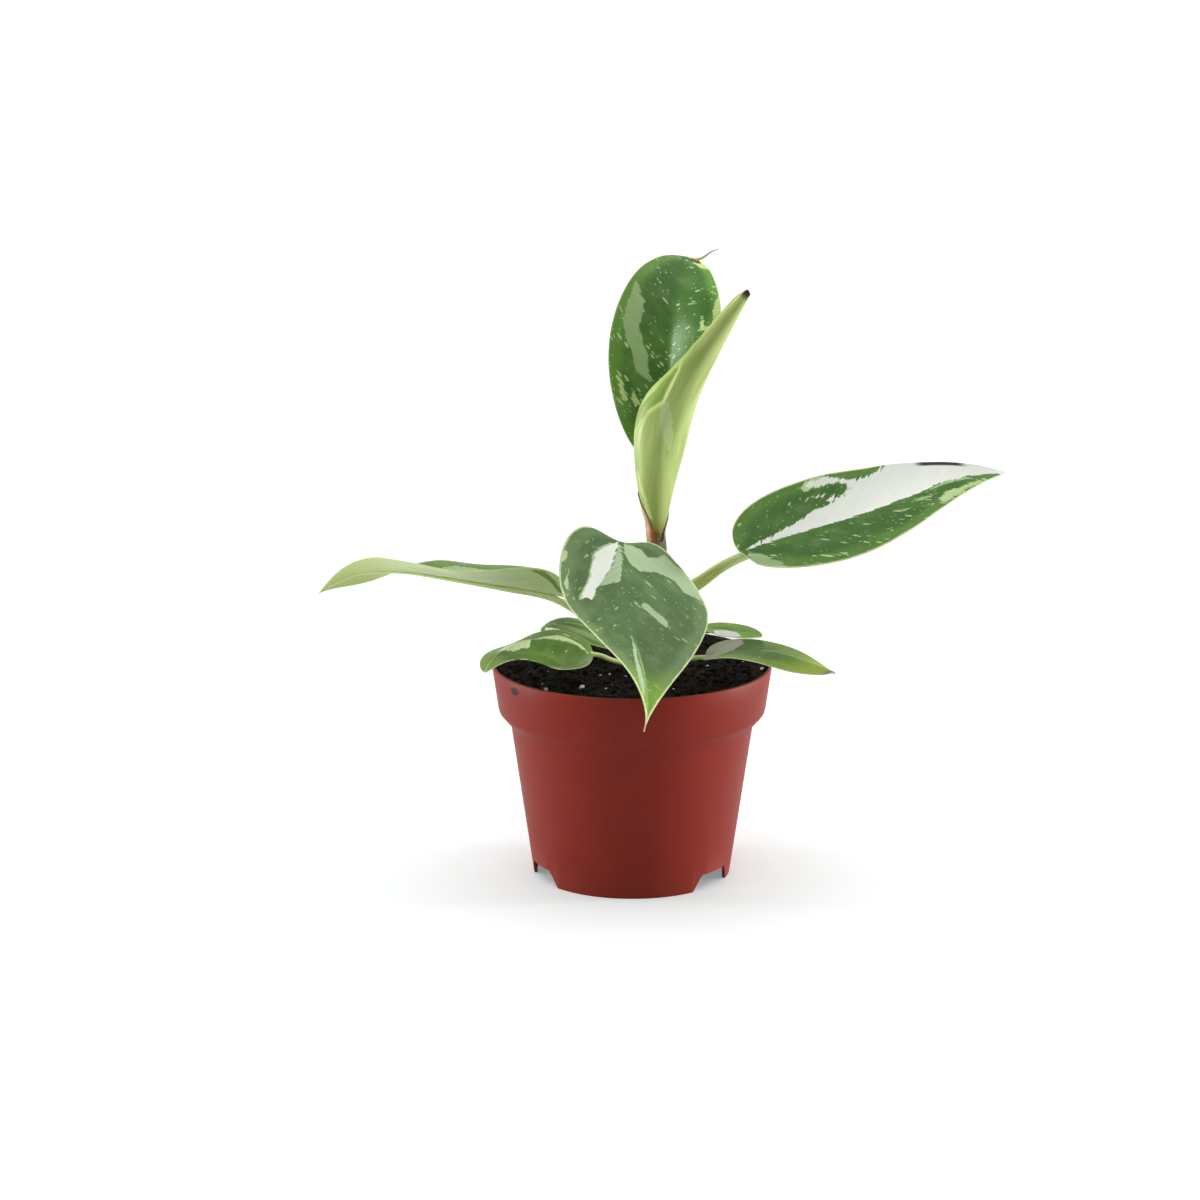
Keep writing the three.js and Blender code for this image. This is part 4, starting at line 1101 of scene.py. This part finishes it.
SKINS = {
    "leaf_top": dict(
        deep=(66, 106, 42), fresh=(104, 148, 54), ragged=0.42, shift=(0, 0, 3), flecks=1.7, margin=0.35,
        rib=(0.0, 0.2), specks=0.7,
        paints={"white": ((86, 44, 26), (120, 76, 40)), "grey": ((128, 160, 98), (160, 186, 130)),
                "cream": ((158, 184, 100), (204, 218, 156))},
    ),
    "leaf_right": dict(
        deep=(58, 102, 30), fresh=(92, 136, 50), ragged=0.8, shift=(9, 0, 8), flecks=1.1, margin=0.5,
        # This blade's left rim is darkened with painted shade from 78 to 97 mm along, where its underside's
        # edge lies in shadow.
        rib=(0.35, 0.0), edge=0.7, scar_and_rim_shade=(78, 97), paints={"cream": ((158, 190, 116), (206, 224, 168))},
    ),
    "leaf_left": dict(
        deep=(104, 130, 72), fresh=(126, 150, 84), ragged=0.5, shift=(3, 0, 5), under=UNDER_LIME,
        flecks=0.4, margin=0.4, edge=0.7, tip=((190, 206, 122), 0.55, 0.8),
        paints={"white": ((124, 152, 70), (92, 128, 48))},
    ),
    "leaf_front": dict(
        deep=(80, 105, 64), fresh=(107, 132, 87), ragged=0.32, shift=(5, 0, 1), flecks=1.2, margin=0.6,
        rib=(0.5, 0.5), specks=0.42, edge=0.6,
        tip=((116, 150, 54), 0.6, 0.82), point=((206, 150, 124), 0.955, 0.985),
        paints={"grey": ((138, 164, 118), (174, 190, 158)), "cream": ((150, 178, 118), (192, 208, 158)),
                "white": ((200, 208, 190), (229, 232, 224))},
    ),
    "leaf_low_left": dict(
        deep=(74, 102, 40), fresh=(110, 134, 64), ragged=0.5, shift=(1, 0, 9), under=UNDER_LIME,
        paints={"grey": ((150, 176, 104), (204, 214, 180)), "white": ((74, 104, 36), (88, 118, 46))},
    ),
    "leaf_low_back": dict(
        deep=(74, 104, 48), fresh=(106, 134, 68), ragged=0.3, shift=(2, 0, 4),
        paints={"grey": ((116, 140, 90), (146, 166, 118))},
    ),
    "leaf_low_right": dict(
        deep=(76, 108, 34), fresh=(112, 138, 46), ragged=0.6, shift=(6, 0, 2), under=UNDER_LIME, edge=0.3,
        tip=((136, 156, 50), 0.6, 0.9), point=((128, 122, 116), 0.955, 0.98),
        paints={"white": ((112, 112, 90), (166, 168, 150)), "cream": ((52, 84, 24), (72, 108, 32))},
    ),
    "leaf_low_small": dict(
        deep=(94, 136, 52), fresh=(132, 168, 74), ragged=0.4, shift=(7, 0, 6), margin=0.4,
        paints={"white": ((206, 210, 200), (232, 234, 228))},
    ),
}
for node, shape in LEAVES.items():
    leaf = grow_leaf(node.replace("leaf", "blade"), shape, PATCHES[node])
    dress(leaf, leaf_skin(node.replace("leaf_", "leaf skin "), **SKINS[node]), "leaf", node)


# Tip thread --------------------------------------------------------------------------------------
# The thread in which the tip of the top leaf ends: the drawn-out point of the blade itself, a round
# strand that has dried from pale green at its root to grey-brown.

THREAD_ROOT = (86.5, 1.2)
THREAD_STEPS = ((-2.4, 0, -0.5), (0, 0, 0), (3.2, 0.2, 1.2), (6, 0.2, 3.2), (9, 0, 4.4))
THREAD_RADII = (0.9, 0.8, 0.5, 0.32, 0.14)
THREAD_RINGS = 40
THREAD_SIDES = 12

ahead, across = np.array([THREAD_ROOT]).T
root = Blade(**LEAVES["leaf_top"]).at(ahead, across)[0][0]
strand = stalk_rings(root + np.array(THREAD_STEPS), THREAD_RADII, THREAD_RINGS, THREAD_SIDES)
thread = add_piece("tip_thread", *skin_of_rings(strand))

dry_thread, shader = new_material("dry thread")
where = shader.where()
fibre = shader.cloud(where, 1500, 3, 0.6)
withered = shader.step(shader.parts(where)[2], (root[2] + 0.4) * MM, (root[2] + 2.2) * MM)
tone = shader.blend(withered, (198, 210, 122), shader.blend(fibre, (142, 136, 128), (182, 178, 172)))
shader.finish(tone, shader.step(fibre, 0.3, 0.7, 0.5, 0.8), fibre, strength=0.3, depth=0.0002)
dress(thread, dry_thread, "leaf")


# Furled leaf -------------------------------------------------------------------------------------
# The newest leaf, pushed up out of the stem as a roll: both halves still curl round each other, so
# only the pale, smooth underside shows, with the darker upper side in the mouth of the roll.

FURLED = dict(
    base=[8.9, -8.2, 129.6], length=103.1, width=[20.3, 17.2], heading=[-4.5, 93.7, 83.4],
    bend=[-6, -15, -2], turn=[14.5, -58.7, -82.3, -33.6, -16.8], twist=[25, -33, -53, 35],
    curlL=[145, 106, 155, 210], curlR=[200, 140, 106, 226, 52], widest=0.429, roundness=0.568, lobe=0.0,
    rows=128, columns=128,
)
ROLL_MIDDLE = 0.65
ROLL_MARGIN = 0.35
BUD_RADII = (3, 3, 2.6, 2, 1)
BUD_INSET = 2.2
BUD_RISES = (0.3, 4.3)
BUD_STATIONS = (0.02, 0.06, 0.1)
BUD_RINGS = 40
BUD_SIDES = 24
WRAP_EDGE = (
    (40, 8), (46, 6.4), (49.4, 3.6), (52, 1.5), (60, 1.5), (64.4, 1.8), (68, 3.4), (80, 2.4), (90, 1.8),
    (103, 0.4),
)
WRAP_START = 40
WRAP_EASE = 8
WRAP_STEP = 0.75
WRAP_FADE = 9
WRAP_GROOVE = 0.5
ROLL_MARKS = {
    "grey": [[(51.5, 2.4), (53, 0), (47, -3.4), (39, -6), (34, -5), (38.5, -2.2), (45, 0.8)]],
    "white": [[(42, 17.6), (46.4, 12.4), (54, 7.2), (63, 4.2), (68, 3.6), (64.4, 1.8), (60, 1.6),
               (55.4, 1.4), (52, 1.5), (49.4, 3.8), (46, 7), (41, 10), (36, 15)]],
    "cream": [[(46, 7.4), (52, 2.6), (64.4, 2.9), (68, 4.5), (80, 3.5), (92, 2.6), (100, 1.6), (100, 0.8),
               (92, 1.4), (80, 2.2), (68, 3.2), (64.4, 1.6), (60, 1.3), (52, 1.3), (46, 6)],
              [(26, 7.6), (18.9, 5.6), (15.5, 3.9), (8, 2.2), (8, 0.8), (15.5, 2.5), (18.9, 4.2), (26, 6)]],
}


def bud_route(blade):
    """The round foot of the roll, from the top of the stem up inside the blade."""
    start = stem_axis(STEM_TOP)
    route = [start + (0, 0, rise) for rise in BUD_RISES]
    for share in BUD_STATIONS:
        point, _, _, up = blade.station(np.array(share))
        route.append(point + up * BUD_INSET)
    return route


def wrap_height(ahead, across):
    """How far the outer wrap stands off: a clean step down at its edge, fading out at its foot."""
    beyond = across - np.interp(ahead, *zip(*WRAP_EDGE))
    begun = np.clip((ahead - WRAP_START) / WRAP_EASE, 0, 1)
    lifted = np.clip(-beyond / 0.5 + 0.5, 0, 1) * np.exp(np.minimum(beyond, 0) / WRAP_FADE)
    return begun * (WRAP_STEP * lifted - WRAP_GROOVE * np.exp(-((beyond - 1.2) / 1.1) ** 2))


roll = Blade(**FURLED)
tt, uu, ahead, across = roll.lattice()
centre, normal = roll.at(ahead, across)
half = half_thickness(uu, ROLL_MIDDLE, ROLL_MARGIN)
outside = centre - normal * (half + wrap_height(ahead, across))[..., None]
rings = stalk_rings(bud_route(roll), BUD_RADII, BUD_RINGS, BUD_SIDES)
furled_leaf = sew_leaf("furled_leaf", roll, centre + normal * half[..., None], outside, rings, ROLL_MARKS)

young, shader = new_material("leaf skin furled")
marking = shader.use("Leaf Markings", Ragged=0.25, Flecks=0.05, Margin=0.3, Shift=(4, 0, 7))
flat = shader.attribute("place")
share, skin = shader.parts(flat)[2], shader.parts(shader.attribute("skin"))
drawn = shader.cloud(flat, 0.22, 3, 0.5, stretch=(1, 0.14, 1))
fine = shader.cloud(flat, 2.2, 2, 0.6, stretch=(1, 0.04, 1))
tone = shader.coats(
    shader.blend(shader.step(drawn, 0.30, 0.70), (138, 160, 74), (174, 188, 118)),
    ((206, 218, 150), fine, 0.16),
    ((216, 222, 186), marking["Grey"], 0.26),
    ((142, 156, 66), shader.step(share, 0.34, 0.10, 0.0, 0.5)),
    ((142, 130, 52), shader.step(share, 0.085, 0.035, 0.0, 0.8)),
    ((126, 102, 46), skin[2]),
    ((116, 148, 58), marking["White"], 0.8),
    ((208, 220, 154), marking["Cream"], 0.45),
    ((52, 38, 26), shader.step(share, 0.955, 0.985)),
)
inside = shader.blend(marking["Fresh"], (88, 130, 42), (116, 152, 56))
tone = shader.blend(shader.math("GREATER_THAN", skin[1], skin[2]), tone, inside)
relief = shader.plus(drawn, shader.times(fine, 0.4))
shader.finish(tone, shader.step(fine, 0.2, 0.8, 0.36, 0.5), relief, strength=0.3, depth=0.0004,
              Subsurface_Weight=0.45, Subsurface_Radius=(0.8, 1.0, 0.5), Subsurface_Scale=0.003,
              Specular_IOR_Level=0.3)
dress(furled_leaf, young, "young_leaf", "leaf_furled")


# Sheath ------------------------------------------------------------------------------------------
# The wrapper that covered the new leaf in the bud. It has dried to thin grey-brown paper, red-brown
# in front, and still stands round the foot of the roll, lowest where the leaf pushed out.

SHEATH_FOOT = STEM_TOP + 0.3
SHEATH_RIM = (135, 141, 141, 143, 147, 141, 131, 129.5, 135)
SHEATH_WALL = 0.7
SHEATH_THINNING = 0.55
SHEATH_GAP = 0.1
WRAP_ALLOWANCE = 0.3
SHEATH_COLUMNS = 96
SHEATH_ROWS = 40
SHEATH_CREASE = 50
ROLL_SAMPLES = 17


def around_roll(height, spoke):
    """The middle of the roll at a height, and how far out a wall clears it along a spoke."""
    foot = stem_axis(STEM_TOP)
    share = (height - roll.base[2]) / roll.length
    point, _, _, up = roll.station(np.array(share))
    radii = [float(roll.half_width(share, right)) / math.radians(float(along(curl, share)))
             for right, curl in ((False, roll.curlL), (True, roll.curlR))]
    middle = point + up * max(sum(radii) / 2, BUD_INSET)
    reach = float(BUD_RADII[0])
    if share > 0:
        places = roll.flat(np.full(ROLL_SAMPLES, share), np.linspace(-1, 1, ROLL_SAMPLES))
        reach = max(reach, ((roll.at(*places)[0] - middle) @ spoke).max() + WRAP_ALLOWANCE)
    blend = np.clip((height - foot[2] - 4) / (roll.base[2] - foot[2] - 1), 0, 1)
    centre = foot + (middle - foot) * blend * blend * (3 - 2 * blend)
    centre[2] = height
    return centre, reach + SHEATH_GAP


# The outside goes up from the foot to the rim, and the inside comes back down.
wall = np.zeros((2, SHEATH_ROWS + 1, SHEATH_COLUMNS, 3))
kept = np.zeros(wall.shape)
for i, j in np.ndindex(SHEATH_ROWS + 1, SHEATH_COLUMNS):
    share, turn = i / SHEATH_ROWS, j / SHEATH_COLUMNS
    spoke = towards(2 * math.pi * turn)
    height = SHEATH_FOOT + (float(along(SHEATH_RIM, turn)) - SHEATH_FOOT) * share
    centre, reach = around_roll(height, spoke)
    wall[0, i, j] = centre + spoke * (reach + SHEATH_WALL * (1 - SHEATH_THINNING * share))
    wall[1, -1 - i, j] = centre + spoke * reach
    kept[0, i, j] = (share, turn, 1)
    kept[1, -1 - i, j] = (share, turn, 0)
sheath = add_piece("bud_sheath", *skin_of_rings(wall.reshape(-1, SHEATH_COLUMNS, 3), closed=True))
sheath.data.set_sharp_from_angle(angle=math.radians(SHEATH_CREASE))
add_vectors(sheath.data, "place", kept)

sheath_paper, shader = new_material("dry sheath")
height, turn, is_outer = shader.parts(shader.attribute("place"))
streaks = shader.cloud(shader.where(), 900, 3, 0.6, stretch=(1, 1, 0.08))
front = shader.step(shader.off(turn, 0.635), 0.08, 0.04)
dark_edge = shader.step(shader.off(turn, 0.728), 0.088, 0.045)
tone = shader.coats(
    shader.blend(streaks, (112, 106, 82), (146, 138, 108)),
    (shader.blend(streaks, (164, 124, 82), (192, 154, 110)), front),
    (shader.blend(streaks, (122, 66, 34), (150, 90, 50)), dark_edge),
    ((92, 76, 48), shader.step(height, 0.965, 0.998, 0.0, 0.7)),
)
tone = shader.blend(is_outer, (140, 112, 64), tone)
shader.finish(tone, shader.step(streaks, 0.2, 0.8, 0.4, 0.62), streaks, strength=0.4, depth=0.0004)
dress(sheath, sheath_paper, "sheath", "sheath")


# Studio ------------------------------------------------------------------------------------------
# A white table that runs on as its own backdrop. A broad soft light hangs overhead, a weak one
# fills in from the front, and one stands low on each side; a long lens looks on from slightly above.

TABLE = ((-9000, -4000, 0), (9000, -4000, 0), (9000, 16000, 0), (-9000, 16000, 0))
LIGHTS = (
    ("overhead light", -100, 87, 95, 2.2),
    ("front light", -95, 30, 70, 0.35),
    ("left light", 172, 2, 12, 3.4),
    ("right light", 8, 2, 12, 4.7),
)
CAMERA_PLACE = (0, -1400, 450)
CAMERA_AIM = (-12, 0, 105)
CAMERA_LENS = 115.84

floor = add_piece("floor", TABLE, [(0, 1, 2, 3)])
table, shader = new_material("white table")
seen = shader.add("ShaderNodeLightPath").outputs["Is Camera Ray"]
shader.fill(
    table.node_tree.nodes["Principled BSDF"],
    Base_Color=shader.blend(shader.cloud(shader.where(), 3), (0.85, 0.87, 0.88, 1), (0.88, 0.90, 0.91, 1)),
    Roughness=0.9,
    Specular_IOR_Level=0.1,
    Emission_Color=shader.blend(seen, (0.1, 0.1, 0.1, 1), (0.9, 1, 1, 1)),
    Emission_Strength=0.26,
)
floor.data.materials.append(table)

world = bpy.data.worlds.new("studio")
bpy.context.scene.world = world
world.use_nodes = True
sky = Shader(world.node_tree)
seen = sky.add("ShaderNodeLightPath").outputs["Is Camera Ray"]
way = sky.parts(sky.add("ShaderNodeTexCoord").outputs["Generated"])
walls = sky.times(sky.step(way[1], -0.3, 0.4, 0.04, 1.0), sky.step(way[2], 0.1, 0.5, 1.0, 0.35))
sky.fill(world.node_tree.nodes["Background"], Color=sky.blend(seen, walls, (1, 1, 1, 1)), Strength=1.0)

# Each light is given by the bearing and the elevation at which the plant sees it, its width in
# degrees and its strength.
for name, bearing, elevation, spread, strength in LIGHTS:
    lamp = bpy.data.lights.new(name, "SUN")
    lamp.angle = math.radians(spread)
    lamp.energy = strength
    light = bpy.data.objects.new(name, lamp)
    light.location = 2 * towards(math.radians(bearing), math.radians(elevation))
    light.rotation_euler = light.location.to_track_quat("Z", "Y").to_euler()
    bpy.context.scene.collection.objects.link(light)

lens = bpy.data.cameras.new("camera")
lens.lens = CAMERA_LENS
lens.sensor_width = 36
lens.clip_end = 60
camera = bpy.data.objects.new("camera", lens)
camera.location = Vector(settle(CAMERA_PLACE))
aim = Vector(settle(CAMERA_AIM))
camera.rotation_euler = (aim - camera.location).to_track_quat("-Z", "Y").to_euler()
bpy.context.scene.collection.objects.link(camera)
bpy.context.scene.camera = camera
bpy.context.scene.view_settings.view_transform = "Standard"
